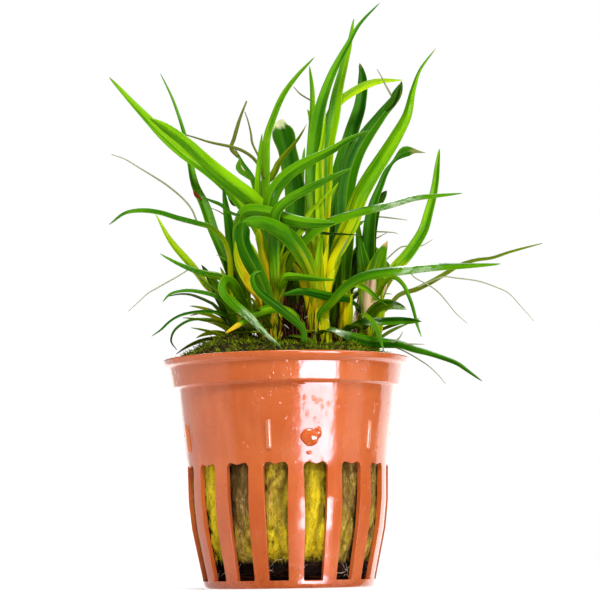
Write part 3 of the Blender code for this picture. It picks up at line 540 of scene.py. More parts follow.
def column_angles(z):
    """The angle of every column of the pot's mesh at a height. The slots widen towards their heads."""
    z = min(max(z, SLOT_FOOT), SLOT_HEAD)
    width = SLOT_FOOT_WIDTH + (SLOT_HEAD_WIDTH - SLOT_FOOT_WIDTH) * (z - SLOT_FOOT) / (SLOT_HEAD - SLOT_FOOT)
    half = math.asin(width / 2 / wall_radius(z))
    slot = np.linspace(-half, half, SLOT_COLUMNS + 1)
    bar = np.linspace(half, SLOT_TURN - half, BAR_COLUMNS + 1)[1:-1]
    one = np.concatenate([slot, bar])
    return np.concatenate([SLOT_START + SLOT_TURN * k + one for k in range(SLOTS)])


def slot_heads():
    """The height of a slot's head at each column: rounded corners and a small dip in its middle."""
    half = SLOT_HEAD_WIDTH / 2
    x = np.minimum(np.abs(COLUMN_PLACES), 1) * half
    corner = np.clip(x - (half - SLOT_CORNER), 0, SLOT_CORNER)
    drop = SLOT_CORNER - np.sqrt(SLOT_CORNER**2 - corner**2)
    return SLOT_HEAD - drop - NOTCH_DEPTH * np.exp(-((x / NOTCH_REACH) ** 2))


def pot_rings():
    """Rings from the foot up the outside, over the rim and down the inside, and whether slots cross each."""
    rings, crossed = [], []
    heads = slot_heads()

    def ring(radius, z, angle_z, slotted=False):
        angles = column_angles(angle_z)
        height = np.broadcast_to(z, angles.shape)
        rings.append(np.stack([radius * np.cos(angles), radius * np.sin(angles), height], axis=1))
        crossed.append(slotted)

    def slot_rows(inset, shares):
        for share in shares:
            z = SLOT_FOOT + (heads - SLOT_FOOT) * share
            ring(wall_radius(z) - inset, z, SLOT_FOOT + (SLOT_HEAD - SLOT_FOOT) * share, True)

    foot = [(15.5, 0), (FOOT_RADIUS, 0), (wall_radius(0.7), 0.7), (wall_radius(1.3), 1.3)]
    for radius, z in rounded(foot, 0.35):
        ring(radius, z, SLOT_FOOT)
    up = np.linspace(0, 1, SLOT_ROWS + 1)
    slot_rows(0.0, up)
    for z in NECK_HEIGHTS:
        ring(wall_radius(z), z, SLOT_HEAD)
    rim = [(wall_radius(39.4), 39.4), (NECK_RADIUS, BAND_FOOT), (BAND_FOOT_RADIUS, BAND_FOOT),
           (BAND_TOP_RADIUS - 0.04, 44.6), (RIM_RADIUS - 0.35, 44.95), (RIM_RADIUS, POT_HEIGHT),
           (BAND_TOP_RADIUS - WALL, POT_HEIGHT), (BAND_FOOT_RADIUS - WALL, BAND_FOOT + WALL),
           (NECK_RADIUS - WALL, BAND_FOOT + 0.5), (wall_radius(38.5) - WALL, 38.5)]
    for radius, z in rounded(rim, 0.42, 4):
        ring(radius, z, SLOT_HEAD)
    for z in reversed(NECK_HEIGHTS[:-1]):
        ring(wall_radius(z) - WALL, z, SLOT_HEAD)
    slot_rows(WALL, up[::-1])
    heel = [(wall_radius(1.4) - WALL, 1.4), (FOOT_RADIUS - WALL, FLOOR), (13.8, FLOOR)]
    for radius, z in rounded(heel, 0.3):
        ring(radius, z, SLOT_FOOT)
    return rings, crossed


def slot_walls(crossed, columns):
    """The faces through the wall at the sides, the foot and the head of each slot."""
    slot_rings = [r * columns for r, slotted in enumerate(crossed) if slotted]
    outer, inner = slot_rings[: SLOT_ROWS + 1], slot_rings[SLOT_ROWS + 1 :][::-1]
    faces = []
    for left in range(0, columns, columns // SLOTS):
        right = left + SLOT_COLUMNS
        for o, o2, i, i2 in zip(outer, outer[1:], inner, inner[1:]):
            faces.append((o + left, o2 + left, i2 + left, i + left))
            faces.append((o + right, i + right, i2 + right, o2 + right))
        for c in range(left, right):
            foot_o, foot_i, head_o, head_i = (k + c for k in (outer[0], inner[0], outer[-1], inner[-1]))
            faces.append((foot_o, foot_i, foot_i + 1, foot_o + 1))
            faces.append((head_o, head_o + 1, head_i + 1, head_i))
    return faces


def make_pot(material):
    rings, crossed = pot_rings()
    columns = len(COLUMN_PLACES)
    faces = []
    for face in ring_sides(len(rings), columns):
        r, c = divmod(face[0], columns)
        if not (crossed[r] and crossed[r + 1] and c % (columns // SLOTS) < SLOT_COLUMNS):
            faces.append(face)
    faces += ring_ends(len(rings), columns) + slot_walls(crossed, columns)
    pot = add("net_pot", np.vstack(rings), faces, material, replaces=["pot"])
    work = bmesh.new()
    work.from_mesh(pot.data)
    bmesh.ops.recalc_face_normals(work, faces=work.faces)
    work.to_mesh(pot.data)
    work.free()
    drill_floor(pot)
    raise_bars(pot)
    bevel = pot.modifiers.new("edges", "BEVEL")
    bevel.width, bevel.segments = EDGE_BEVEL * MM, 2
    bevel.limit_method, bevel.angle_limit = "ANGLE", math.radians(EDGE_ANGLE)
    pot.modifiers.new("normals", "WEIGHTED_NORMAL").keep_sharp = True


def drill_floor(pot):
    """Drain slots through the floor, cut in the mesh itself."""
    work = bmesh.new()
    scale = Matrix.Diagonal(((DRAIN_OUTER - DRAIN_INNER) * MM, DRAIN_WIDTH * MM, 6 * MM, 1))
    middle = Matrix.Translation(((DRAIN_INNER + DRAIN_OUTER) / 2 * MM, 0, 0.5 * MM))
    for k in range(DRAINS):
        turn = Matrix.Rotation(math.radians(FRONT_SLOT - 90 + 360 * k / DRAINS), 4, "Z")
        made = bmesh.ops.create_cube(work, size=1.0)["verts"]
        bmesh.ops.transform(work, matrix=turn @ middle @ scale, verts=made)
    mesh = bpy.data.meshes.new("drains")
    work.to_mesh(mesh)
    work.free()
    cutter = linked("drains", mesh)
    cut = pot.modifiers.new("drains", "BOOLEAN")
    cut.operation, cut.solver, cut.object = "DIFFERENCE", "EXACT", cutter
    bpy.context.view_layer.update()
    result = bpy.data.meshes.new_from_object(pot.evaluated_get(bpy.context.evaluated_depsgraph_get()))
    pot.modifiers.clear()
    pot.data = result
    bpy.data.objects.remove(cutter)


def raise_bars(pot):
    """The small raised bars of the wall, marked so that they get a painted highlight."""
    work = bmesh.new()
    work.from_mesh(pot.data)
    raised = work.verts.layers.float.new("raised")
    for bearing in BAR_ANGLES:
        points, sides = bar_shape(math.radians(bearing - 90))
        made = [work.verts.new(point * MM) for point in points]
        for vert in made:
            vert[raised] = 1.0
        for side in sides:
            work.faces.new([made[k] for k in side]).smooth = True
    bmesh.ops.recalc_face_normals(work, faces=work.faces)
    work.to_mesh(pot.data)
    work.free()


def bar_shape(angle):
    """A small raised bar on the wall with a rounded face."""
    out, side = np.array(polar(1, angle, 0)), np.array([-math.sin(angle), math.cos(angle), 0])
    heights = [(BAR_FOOT + z, share) for z, share in BAR_ENDS]
    heights += [(BAR_HEAD - z, share) for z, share in reversed(BAR_ENDS)]
    points = []
    for z, share in heights:
        for x, proud in BAR_SECTION:
            radius = wall_radius(z) + (proud * share if proud > 0 else proud)
            points.append(out * radius + side * x * (0.85 + 0.15 * share) + np.array([0, 0, z]))
    rings, count = len(heights), len(BAR_SECTION)
    return points, ring_ends(rings, count, flip=True) + ring_sides(rings, count, flip=True)


# Rockwool and moss


WOOL_SIDES, WOOL_FIBRES = 400, 8600
# How far a slot's lump reaches to each side, in slot spacings
LUMP_REACH = 0.36
# From the front slot on to the right: how yellow each slot's lump is at its foot and its head, and how far
# its lower edge is raised
WOOL_TONES = ((0.95, 0.45), (1.0, 0.95), (0.3, 0.1), (0.2, 0.0), (0.4, 0.2), (0.8, 0.5), (0.9, 0.2),
              (0.3, 0.6), (0.7, 0.9), (1.0, 0.4), (0.2, 0.3), (0.8, 0.8), (0.5, 0.1), (0.3, 0.3),
              (1.0, 0.85), (0.35, -0.5))
WOOL_HEMS = (0.4, 0.6, -0.6, -1.0, 0.0, 0.6, 1.0, 0.0, -0.5, 0.4, 0.8, -0.4, 0.2, 0.0, 1.6, 0.2)
MOSS_SIDES, MOSS_RINGS, MOSS_SHOOTS, MOSS_FOOT = 120, 34, 8600, 44.4


def turbulence(x, y, z, octaves=3):
    return mnoise.fractal(Vector((x, y, z)), 1.0, 2.0, octaves)


def slot_of(angle):
    """The slot that an angle lies at, from the front one on, and how far off its middle, in slot spacings."""
    turned = (angle - SLOT_START) / SLOT_TURN
    nearest = round(turned)
    return nearest % SLOTS, turned - nearest


def wool_radius(angle, z):
    """The rockwool's uneven skin: a lump bulges into each slot and draws back behind the bars."""
    slot, off = slot_of(angle)
    within = limited((z - 6) / 3) * limited((26.5 - z) / 3)
    bulge = 0.75 * math.cos(min(1.0, abs(off) / LUMP_REACH) * math.pi / 2) ** 0.8 - 0.75
    base = wall_radius(min(z, BAND_FOOT - 1)) - WALL - 0.25
    x, y = math.cos(angle), math.sin(angle)
    rolls = 0.5 * turbulence(6 * x + slot, 6 * y, 0.16 * z) + 0.3 * turbulence(20 * x, 20 * y, 0.4 * z)
    fuzz = 0.12 * turbulence(60 * x, 60 * y, 2.2 * z)
    return base + within * bulge + min(0.25, rolls) + fuzz + 0.45 * within - 0.7 * crease(angle, z)


def crease(angle, z):
    """The folds that wind between the soft lumps of the rockwool, from 0 to 1. They are drawn in, and
    darkened with painted shade.
    """
    x, y = math.cos(angle), math.sin(angle)
    bend = 0.25 * turbulence(11 * x, 11 * y, 0.3 * z)
    fold = abs(turbulence(4.6 * x + bend, 4.6 * y + 3.0, 0.085 * z + bend, 1))
    return max(0.0, 1 - fold / 0.2) ** 1.5


def wool_tone(angle, z):
    """How yellow the rockwool is: each slot's lump has its own share at its foot and at its head."""
    foot, head = WOOL_TONES[slot_of(angle)[0]]
    return foot + (head - foot) * limited(limited((z - 6) / 17) * 2 - 0.6)


def wool_painted_shade(angle, z):
    """How much painted shade the rockwool gets: all of it at its heel, and some in its folds and towards the
    sides of the slots.
    """
    if z < 5.3:
        return 1.0
    edge = max(0.0, abs(slot_of(angle)[1]) / LUMP_REACH - 0.62) / 0.38
    return min(0.9, max(0.0, 0.6 - (z - 5.6) * 0.5, 0.5 * crease(angle, z)) + 0.7 * edge**2)


def make_rockwool(material, fibre):
    # Each ring's height, and its radius where that is a fixed one
    rows = [(1.5, 14.6), (3.6, 15.3), (5.0, 15.8)]
    rows += [(z, None) for z in (*np.arange(5.6, 27.0, 0.35), *np.arange(28.0, 43.6, 1.5))]
    rows.append((43.9, 20.0))
    points, tone, deep = [(0, 0, 1.5), (0, 0, 44.0)], [0.5, 0.5], [1.0, 0.0]
    for z, fixed in rows:
        for angle in turns(WOOL_SIDES):
            x, y = math.cos(angle), math.sin(angle)
            if fixed:
                points.append(polar(fixed + 0.5 * turbulence(9 * x, 9 * y, z), angle, z))
            else:
                hem = 1.5 * turbulence(4 * x, 4 * y, 3.0) + WOOL_HEMS[slot_of(angle)[0]]
                radius = wool_radius(angle, z) - 1.6 * (1 - min(1.0, (z - 5.2) / 2.2) ** 0.5)
                points.append(polar(radius, angle, z + hem * max(0.0, 1 - (z - 5.6) / 4)))
            tone.append(wool_tone(angle, z))
            deep.append(wool_painted_shade(angle, z))
    last = len(points) - WOOL_SIDES
    faces = fan(0, 2, WOOL_SIDES, flip=True) + fan(1, last, WOOL_SIDES) + ring_sides(len(rows), WOOL_SIDES, 2)
    # deep holds how much painted shade each point gets.
    floats = {"tone": tone, "deep": deep}
    add("rockwool_plug", points, faces, material, floats=floats, replaces=["rockwool"])
    rng = np.random.default_rng(11)
    strands = Strands()
    for _ in range(WOOL_FIBRES):
        angle = SLOT_START + SLOT_TURN * (rng.integers(SLOTS) + rng.uniform(-0.32, 0.32))
        z = rng.uniform(5.8, 25.5)
        length, slant, bend = rng.uniform(0.7, 2.6), rng.normal(0, 0.9), rng.normal(0, 0.35)
        loose = rng.uniform(0, 1) ** 5
        line = []
        for t in np.linspace(-0.5, 0.5, 4):
            height = z + t * length * math.cos(slant) + bend * t * t
            turn = angle + (t * length * math.sin(slant) + bend * t * t * 3) / 19
            radius = wool_radius(turn, height) + 0.02 + (0.05 + 0.4 * loose) * math.cos(math.pi * t)
            line.append(polar(radius, turn, max(4.6, height)))
        # Fibres in the folds are darker: painted shade.
        shade = wool_tone(angle, z) - 0.6 * crease(angle, z)
        strands.add(line, (0.015, rng.uniform(0.02, 0.04), 0.015), 3, shade + rng.normal(0, 0.22))
    strands.build("rockwool_fibres", fibre, "rockwool")


def moss_height(x, y):
    share = min(1.0, math.hypot(x, y) / MOSS_RADIUS)
    mound = MOSS_RISE * (1 - share**2.4)
    lean = -0.07 * x * (1 - share)
    bumps = 0.35 * math.sin(0.55 * x + 1.0) * math.sin(0.6 * y) * (1 - share**4)
    return MOSS_EDGE + mound + lean + bumps


def moss_skin(x, y):
    """The moss bed under its shoots: lumpy, fuller at the left and lower in the front middle."""
    share = min(1.0, math.hypot(x, y) / MOSS_RADIUS)
    lumps = 0.7 * turbulence(0.28 * x, 0.28 * y, 1.7) + 0.35 * turbulence(0.9 * x, 0.9 * y, 4.0)
    left = 1.1 * math.exp(-(((x + 13) / 6) ** 2)) * (1 - share**6)
    dip = 2.3 * math.exp(-(((x - 2) / 8) ** 2) - ((y + 6) / 9) ** 2)
    return moss_height(x, y) + lumps * (1 - share**10) + left - 0.4 * (1 - share**4) - dip


def make_moss(material, fibre):
    points = [(0, 0, MOSS_FOOT), (0, 0, moss_skin(0, 0))]
    for ring in range(1, MOSS_RINGS + 1):
        for angle in turns(MOSS_SIDES):
            x, y, _ = polar(1.025 * MOSS_RADIUS * ring / MOSS_RINGS, angle, 0)
            points.append((x, y, moss_skin(x, y)))
    foot = len(points)
    points += [polar(MOSS_RADIUS, angle, MOSS_FOOT) for angle in turns(MOSS_SIDES)]
    faces = fan(1, 2, MOSS_SIDES) + fan(0, foot, MOSS_SIDES, flip=True)
    faces += ring_sides(MOSS_RINGS + 1, MOSS_SIDES, 2, flip=True)
    add("moss_bed", points, faces, material, replaces=["moss"])
    rng = np.random.default_rng(5)
    strands = Strands()
    for _ in range(MOSS_SHOOTS):
        radius, angle = MOSS_RADIUS * math.sqrt(rng.uniform(0, 1.01)), rng.uniform(0, 2 * math.pi)
        x, y, _ = polar(radius, angle, 0)
        foot_z = moss_skin(x, y) - 0.3
        clump = turbulence(0.45 * x, 0.45 * y, 8.0)
        height = rng.uniform(0.3, 1.0) + 0.7 * max(0.0, clump)
        lean = rng.normal(0, 0.6, 2)
        line = [(x, y, foot_z), (x + lean[0] * 0.35, y + lean[1] * 0.35, foot_z + height * 0.55),
                (x + lean[0], y + lean[1], foot_z + height)]
        # Shoots in taller clumps are lighter and low ones darker: painted light on the tops and painted shade
        # in the gaps.
        shade = limited(rng.uniform(0, 1) ** 2.4 + 0.9 * clump)
        strands.add(line, (0.07, rng.uniform(0.05, 0.13), 0.03), 3, shade)
    strands.build("moss_shoots", fibre, "moss")


# Leaves


# Where a leaf that is as pale as usual is wholly blanched and where not at all, from its foot
PALE_START, PALE_END = 7.0, 24.0
LEAF_STEP, LEAF_TIP_POWER = 0.8, 0.55
SECTION = np.linspace(-1, 1, 11)
# A sheath's foot, and how far a leaf may stand off its crown and still have one
SHEATH_FOOT, SHEATH_REACH = 47.0, 5
# Ways that a leaf's upper side can face
FRONT, UP = (0, -0.85, 0.5), (0, -0.5, 1.0)
UPWARD = np.array([0.0, 0.0, 1.0])

# Each leaf of the CAD: style, how dry its tip is, the width of its sheath, how far its foot is blanched, and
# the stretch of it that is damp and glossy with a painted sheen, if any, from 0 at the foot to 1 at the tip
LEAVES = {
    "left_1": ("fresh", 0.15, 3, 1.2), "left_2": ("fresh", 0, 3.2, 0.75), "left_3": ("green", 0, 2.2, 0.75),
    "left_4": ("green", 0.15, 1.8, 1.3), "left_5": ("lime", 0.1, 2.4, 0.75), "left_6": ("green", 0, 2, 0.75),
    "left_7": ("deep", 0, 1.6, 0.3), "left_8": ("deep", 0.3, 1.4, 0.3), "left_9": ("deep", 0.2, 1.3, 0.75),
    "up_1": ("fresh", 0, 2.4, 1.3), "up_2": ("fresh", 0, 2, 0.75), "up_3": ("cut", 0.35, 3.2, 0.1),
    "up_4": ("green", 0.2, 2, 0.75), "up_5": ("green", 0.1, 3.2, 1.5), "up_6": ("fresh", 0.1, 3, 2.2),
    "up_7": ("fresh", 0, 2.2, 0.75), "up_8": ("deep", 0.2, 3.2, 0.75), "up_9": ("deep", 0.3, 2.8, 0.75),
    "up_10": ("lime", 0.1, 2, 1.6), "right_1": ("fresh", 0.2, 3.4, 1.6), "right_2": ("deep", 0.6, 2.6, 0.2),
    "right_3": ("dark", 0.1, 2.6, 0.2), "right_4": ("green", 0.05, 2.2, 0.75, (0.68, 0.87)),
    "right_5": ("green", 0.1, 2.8, 0.75), "right_6": ("green", 0, 2.4, 0.75),
    "right_7": ("green", 0.15, 2.2, 0.15, (0.55, 0.76)), "right_8": ("olive", 0.2, 1.8, 0.4),
    "right_9": ("deep", 0, 2.2, 0.75, (0.8, 1.1)), "right_10": ("fresh", 0.15, 2.8, 1),
    "right_11": ("green", 0.1, 1.6, 0.75), "right_12": ("deep", 0, 2, 0.1, (0.45, 0.62)),
    "right_13": ("deep", 0.15, 2.4, 0.1, (0.12, 0.24)), "front_1": ("green", 0.1, 2.8, 0.3),
    "front_2": ("deep", 0, 3, 0.2), "front_3": ("green", 0, 3.2, 1), "front_4": ("gold", 0.2, 2, 1.4),
    "front_5": ("gold", 0, 2.2, 1.3), "front_6": ("deep", 0, 1.8, 0.1), "front_7": ("green", 0, 1.8, 0.3),
    "front_8": ("deep", 0.1, 1.6, 0.1), "front_9": ("ripe", 1.1, 1.8, 0.1),
    "front_10": ("green", 0.1, 2.2, 0.15, (0.66, 1.1)), "front_11": ("green", 0, 2.4, 0.3),
    "back_1": ("green", 0.2, 2.4, 0.3), "back_2": ("fresh", 0.1, 2.6, 0.3),
    "back_3": ("fresh", 0.2, 2.6, 0.15), "back_4": ("green", 0.2, 2.4, 0.75),
    "back_5": ("deep", 0.2, 2.2, 0.75), "back_6": ("green", 0.1, 2.2, 0.75),
    "back_7": ("fresh", 0.2, 2.4, 0.75),
}
# Leaves whose blade is turned to face the front from the tip on
TURNED_LEAVES = ("up_10", "right_13")
# Leaves that are wider or narrower at a distance from the tip: by how much, where and over what length
WIDER_LEAVES = {"up_10": ((1.1, 8.0, 8.0),), "left_5": ((0.4, 10.0, 8.0),), "left_3": ((0.35, 32.0, 12.0),),
                "right_2": ((-0.5, 0.0, 2.6), (0.55, 4.6, 1.7), (-0.6, 8.6, 2.0))}

# Small leaves: style, how dry the tip is, width, crown, depth of tip and foot, and seen points. One without a
# crown ends on the leaf that it meets, and its depths count from there. The upper side faces the front, or
# else as the last value says
SMALL_LEAVES = (
    ("dark", 0.2, 1.3, "d", (-6, -3), ((15.8, 71.6), (12, 71.8), (8, 72), (5, 72.8), (2, 73.8))),
    ("lime", 0, 1.4, "d", (-4, -3), ((10.2, 82.4), (9.7, 81.3), (8.2, 79.4), (6.7, 77.8), (5, 76), (4, 73),
                                     (2.6, 71))),
    ("fresh", 0, 1.0, "", (1, 0), ((11.3, 82.6), (9.9, 80), (8.2, 76.3))),
    ("fresh", 0.2, 1.2, "", (3, 0), ((5.2, 97.9), (6, 95.5), (6.2, 92))),
    ("olive", 0.3, 2.0, "f", (3, 4), ((5, 94.8), (3.9, 92.8), (2.5, 90.8), (-0.7, 87), (-2, 84),
                                      (-3.9, 80.2))),
    ("lime", 0, 1.7, "a", (-1, -3), ((9, 97.5), (8.2, 91), (7.3, 84))),
    ("green", 0.2, 1.3, "", (1, 0), ((-8.8, 88), (-9, 85.5), (-8, 83))),
    ("green", 0, 1.2, "", (1, 0), ((-11.5, 82), (-10.3, 78.5), (-9.3, 77.5))),
    ("deep", 0.5, 0.9, "", (-1, 0), ((-16.9, 80.2), (-14.9, 79.1), (-12.9, 78.2), (-11, 76.6), (-10.3, 76))),
    ("dark", 0.2, 1.2, "e", (-4, 0), ((-24, 59.6), (-21.7, 60), (-19.5, 59.9), (-17.5, 59.2), (-15.8, 58.4),
                                      (-14.6, 57.6)), UP),
    ("olive", 1, 1.0, "e", (-6, -1), ((-19.4, 55.6), (-17.8, 55.9), (-16.5, 56.1))),
    ("green", 0.2, 1.6, "b", (-7, -1), ((21, 57.1), (18.7, 58.5), (17.2, 60), (15, 61.2), (12.5, 61.6))),
    ("green", 0.2, 1.1, "c", (-21, -5), ((20.1, 47.4), (19.2, 50.3), (18.3, 52.8), (17, 54.5), (15.5, 55.2))),
    ("green", 0.2, 1.3, "", (1, 0), ((20.3, 68), (18.4, 68.7), (16.1, 69.6), (14.7, 70.2))),
    ("green", 0, 0.9, "", (0, 0), ((16.5, 74.6), (14.2, 72.6))),
    ("green", 0.4, 1.2, "e", (-2, 0), ((-13.9, 68), (-11.8, 66.8), (-10, 65), (-8.5, 63))),
    ("dark", 0, 1.4, "d", (-14, -6), ((7.2, 48.1), (6.1, 49.2), (4.8, 50.1), (2.9, 50.6), (0.5, 50.8)), UP),
    ("lime", 0, 2.5, "d", (-5, -4.5), ((0.8, 68.8), (-0.6, 66.1), (-1.7, 62.6), (-2.4, 58.9))),
    ("lime", 0, 2.5, "a", (-7, -6), ((8, 72.1), (7.3, 69.4), (7.1, 66), (6.9, 61.8))),
    ("deep", 0, 2.6, "e", (2, 1), ((-12.4, 82.6), (-12, 79), (-11.4, 75), (-10.8, 71), (-10, 66),
                                   (-9.4, 60))),
    ("rust", 0, 0.9, "", (-1.2, -0.5), ((-18.5, 81.4), (-18, 80.4), (-17.4, 79))),
    ("green", 0.5, 5.0, "c", (0, 2), ((21.2, 70.4), (20, 67.6), (18.8, 64), (17.6, 59))),
    ("deep", 0, 3.6, "c", (1, 3), ((15.4, 71.6), (15.8, 68), (16.4, 64), (16.8, 59))),
    ("gold", 0, 2.3, "d", (-19.5, -8), ((-10, 70.8), (-9.8, 67.4), (-8.8, 64.2), (-7, 61.2), (-4.6, 58.2))),
    ("deep", 0, 2.6, "d", (2, 1), ((-12.6, 68), (-11, 63), (-8, 57), (-5, 52))),
    ("dark", 0.1, 3.0, "e", (1, 1), ((-17, 66), (-14.6, 62), (-12, 57), (-10, 52))),
    ("dark", 0, 3.2, "f", (3, 5), ((-0.6, 70), (0.4, 64), (1, 58), (1.2, 52))),
    ("dark", 0, 3.2, "f", (2, 4), ((4.4, 68), (3.4, 63), (2.6, 58), (2, 52))),
    ("deep", 0.1, 3.0, "g", (5, 6), ((10.8, 74), (10.4, 68), (9.8, 62), (9, 54))),
    ("dark", 0, 3.0, "g", (4, 6), ((16.4, 72), (14.6, 66), (12.6, 60), (10.4, 54))),
    ("deep", 0, 2.4, "c", (5, 4), ((15, 76), (15.4, 70), (16, 64), (16.4, 56))),
    ("green", 0.1, 2.2, "c", (4, 4), ((23, 66), (21, 62.4), (19, 58), (17.4, 52))),
    ("dark", 0.3, 1.9, "", (0, 0), ((24.4, 103), (23.8, 101.2), (22.8, 98.8), (21.8, 96.5))),
)
# Short leaves round a crown: bearing, spread, number, lengths, width, rise in degrees, height of their feet
TUFTS = (
    ("e", -88, 20, 5, (8, 14), 1.7, (10, 60), (48.5, 54)),
    ("e", -150, 30, 5, (8, 18), 1.8, (15, 70), (49, 55)),
    ("d", -60, 24, 4, (7, 12), 1.5, (0, 40), (48.5, 52)),
    ("c", 120, 18, 3, (7, 12), 1.6, (10, 50), (48, 52)),
    ("e", -40, 50, 8, (6, 12), 1.9, (30, 84), (48.5, 52)),
    ("d", -120, 50, 7, (6, 12), 1.9, (30, 84), (48.5, 52)),
    ("b", 40, 30, 3, (6, 9), 1.3, (5, 40), (48.5, 52)),
    ("a", 5, 40, 3, (5, 8), 1.2, (0, 30), (48, 50)),
    ("g", 150, 38, 10, (10, 22), 2.0, (30, 80), (49, 57)),
    ("f", -160, 38, 10, (10, 22), 2.0, (30, 80), (49, 57)),
    ("f", 180, 60, 6, (8, 15), 1.6, (5, 45), (48, 52)),
    ("f", 0, 70, 7, (10, 20), 2.0, (55, 84), (50, 56)),
    ("g", 0, 70, 7, (10, 20), 2.0, (55, 84), (50, 56)),
)
# Sheaths round a crown: the plane that they stand in, number, heights, width and main style
FANS = (
    ("a", 0, 8, (12, 25), 4.2, "lime"),
    ("a", -75, 4, (15, 20), 4.4, "lime"),
    ("b", -84, 4, (9, 15), 2.3, "lime"),
    ("c", -84, 6, (14, 17.5), 5.4, "pale"),
    ("c", 180, 4, (8, 15), 3.0, "olive"),
    ("d", 0, 7, (12, 24), 3.2, "lime"),
    ("e", -15, 6, (10, 20), 3.3, "lime"),
    ("f", 40, 6, (14, 26), 3.4, "fresh"),
    ("g", -30, 6, (14, 26), 3.4, "fresh"),
)
# Twigs and dead leaf ends no thicker than hairs: kind, thickness, depth of tip and foot from the leaf that
# each meets, and seen points
THREADS = (
    ("twig", 0.7, (-3, 0), ((-20, 93), (-17.8, 92.3), (-14.8, 91.3), (-10.5, 90.3), (-7.8, 89.2),
                            (-5.5, 87.2), (-2.4, 84))),
    ("twig", 0.35, (2, 0), ((2.4, 102.7), (3.8, 101.1), (5.2, 99.4))),
    ("twig", 0.35, (-1, 0), ((-14.9, 77.7), (-13, 76.8), (-11, 75))),
    ("twig", 0.9, (1, 0), ((-7.3, 99.8), (-8.8, 96), (-10, 92), (-10.6, 90), (-11.2, 87))),
    ("twig", 0.45, (2, 0), ((-7.7, 97.6), (-7, 95.4), (-6.5, 93), (-6.2, 90.9), (-5.9, 87.7))),
    ("hair", 0.45, (0, 0), ((19.7, 106.1), (20.7, 104.2), (21.5, 102.5), (22, 100))),
    ("hair", 0.3, (-3, 0), ((-32, 56.7), (-30, 58.5), (-28, 60.3), (-26.6, 61.1), (-24.6, 62.2),
                            (-21.7, 63.8), (-19.3, 64.8))),
    ("hair", 0.45, (2, 0), ((-35.2, 89.1), (-32.5, 88.1), (-29.6, 86.3), (-26.6, 84.4), (-23.7, 82.4),
                            (-20.7, 79.8), (-18.8, 77.4), (-17.6, 76.2))),
    ("hair", 0.35, (0, 0), ((25.3, 74.6), (21.9, 75.1), (20, 75.2))),
    ("hair", 0.35, (0, 0), ((23.3, 71.8), (22.2, 72.1), (19.4, 72.3))),
    ("hair", 0.3, (-1, 0), ((21, 72), (19.3, 70.2))),
    ("hair", 0.35, (0, 0), ((30.4, 70.5), (27.9, 69.2), (24.6, 69.2), (23.1, 68.5), (20.1, 68))),
    ("hair", 0.3, (-3, 0), ((50.7, 53.5), (49.6, 54.8), (48, 56.7), (46.4, 58.6), (45, 59.7), (42.5, 60.8),
                            (40, 61.7), (38, 62.1), (35, 62.5), (32, 62.7), (26, 62))),
    ("hair", 0.3, (-3, 0), ((37.1, 53.2), (35, 55.1), (33.3, 57.3), (31.4, 59.6), (29.3, 61.2), (26.5, 62.8),
                            (25.1, 63.4))),
    ("hair", 0.3, (-3, 0), ((32.4, 40.9), (31.4, 42.2), (30.4, 43.3), (29, 44.6), (27.1, 45.9), (25, 47.2),
                            (22.5, 48.4), (19, 50.5))),
    ("hair", 0.35, (-2, 0), ((23.9, 51.6), (23.2, 50.4), (22.1, 49.6), (21, 49))),
    ("hair", 0.3, (-3, 0), ((28.3, 49), (23.5, 49.1))),
)


def rings_of(node):
    """A packed leaf's tip, and its rings of four corners from the tip on."""
    work = bmesh.new()
    work.from_mesh(frame["nodes"][node].data)
    bmesh.ops.remove_doubles(work, verts=work.verts, dist=0.0005 * MM)
    work.verts.index_update()
    near = [[edge.other_vert(vert).index for edge in vert.link_edges] for vert in work.verts]
    places = np.array([vert.co for vert in work.verts]) / MM
    work.free()
    for start in range(len(near)):
        met, layer, layers = {start}, [start], []
        while layer:
            layer = sorted({n for v in layer for n in near[v]} - met)
            met.update(layer)
            layers.append(layer)
        if all(len(ring) == 4 for ring in layers[:-1]) and 4 * len(layers) - 3 == len(near):
            return places[start], [places[ring] for ring in layers[:-1]]
    raise ValueError(node + " isn't made of rings with four corners")


def spine_from(node):
    """A packed leaf's spine from its tip, the directions across it, and half its width."""
    tip, rings = rings_of(node)
    middles, sides, halves = [], [], []
    for ring in rings:
        width, i, j = max((np.linalg.norm(ring[i] - ring[j]), i, j) for i in range(4) for j in range(i))
        middles.append(ring[[k for k in range(4) if k not in (i, j)]].mean(axis=0))
        sides.append((ring[i], ring[j]))
        halves.append(width / 2)
    spine = np.vstack([tip, middles])
    across = []
    for along, middle, (one, two) in zip(directions(spine)[1:], middles, sides):
        side = unit(two - one)
        inward = unit(np.cross(along, side)).dot((one + two) / 2 - middle) >= 0
        across.append(side if inward else -side)
    return spine, np.array([across[0], *across]), np.array([0.0, *halves])


def smooth_leaf(spine, across, half, blunt):
    """The same leaf in fine steps. Behind the tip its width grows quickly from the blunt share on."""
    length = lengths_along(spine)
    keys = np.hstack([spine, across, half[:, None]])
    tangents = np.gradient(keys, length, axis=0)
    wanted = np.linspace(0, 1, max(24, int(length[-1] / LEAF_STEP))) ** 1.05 * length[-1]
    rows = []
    for s in wanted:
        k = min(max(int(np.searchsorted(length, s, side="right")) - 1, 0), len(keys) - 2)
        h = length[k + 1] - length[k]
        t = (s - length[k]) / h
        start = (2 * t**3 - 3 * t**2 + 1) * keys[k] + (t**3 - 2 * t**2 + t) * (tangents[k] * h)
        rows.append(start + (-2 * t**3 + 3 * t**2) * keys[k + 1] + (t**3 - t**2) * (tangents[k + 1] * h))
    rows = np.array(rows)
    spine, across, half = rows[:, :3], unit(rows[:, 3:6]), np.maximum(rows[:, 6], 0)
    edge = wanted / max(length[1], 1e-6)
    near = edge <= 1
    half[near] = keys[1, 6] * (blunt + (1 - blunt) * edge[near] ** LEAF_TIP_POWER)
    return spine, across_line(spine, across), half


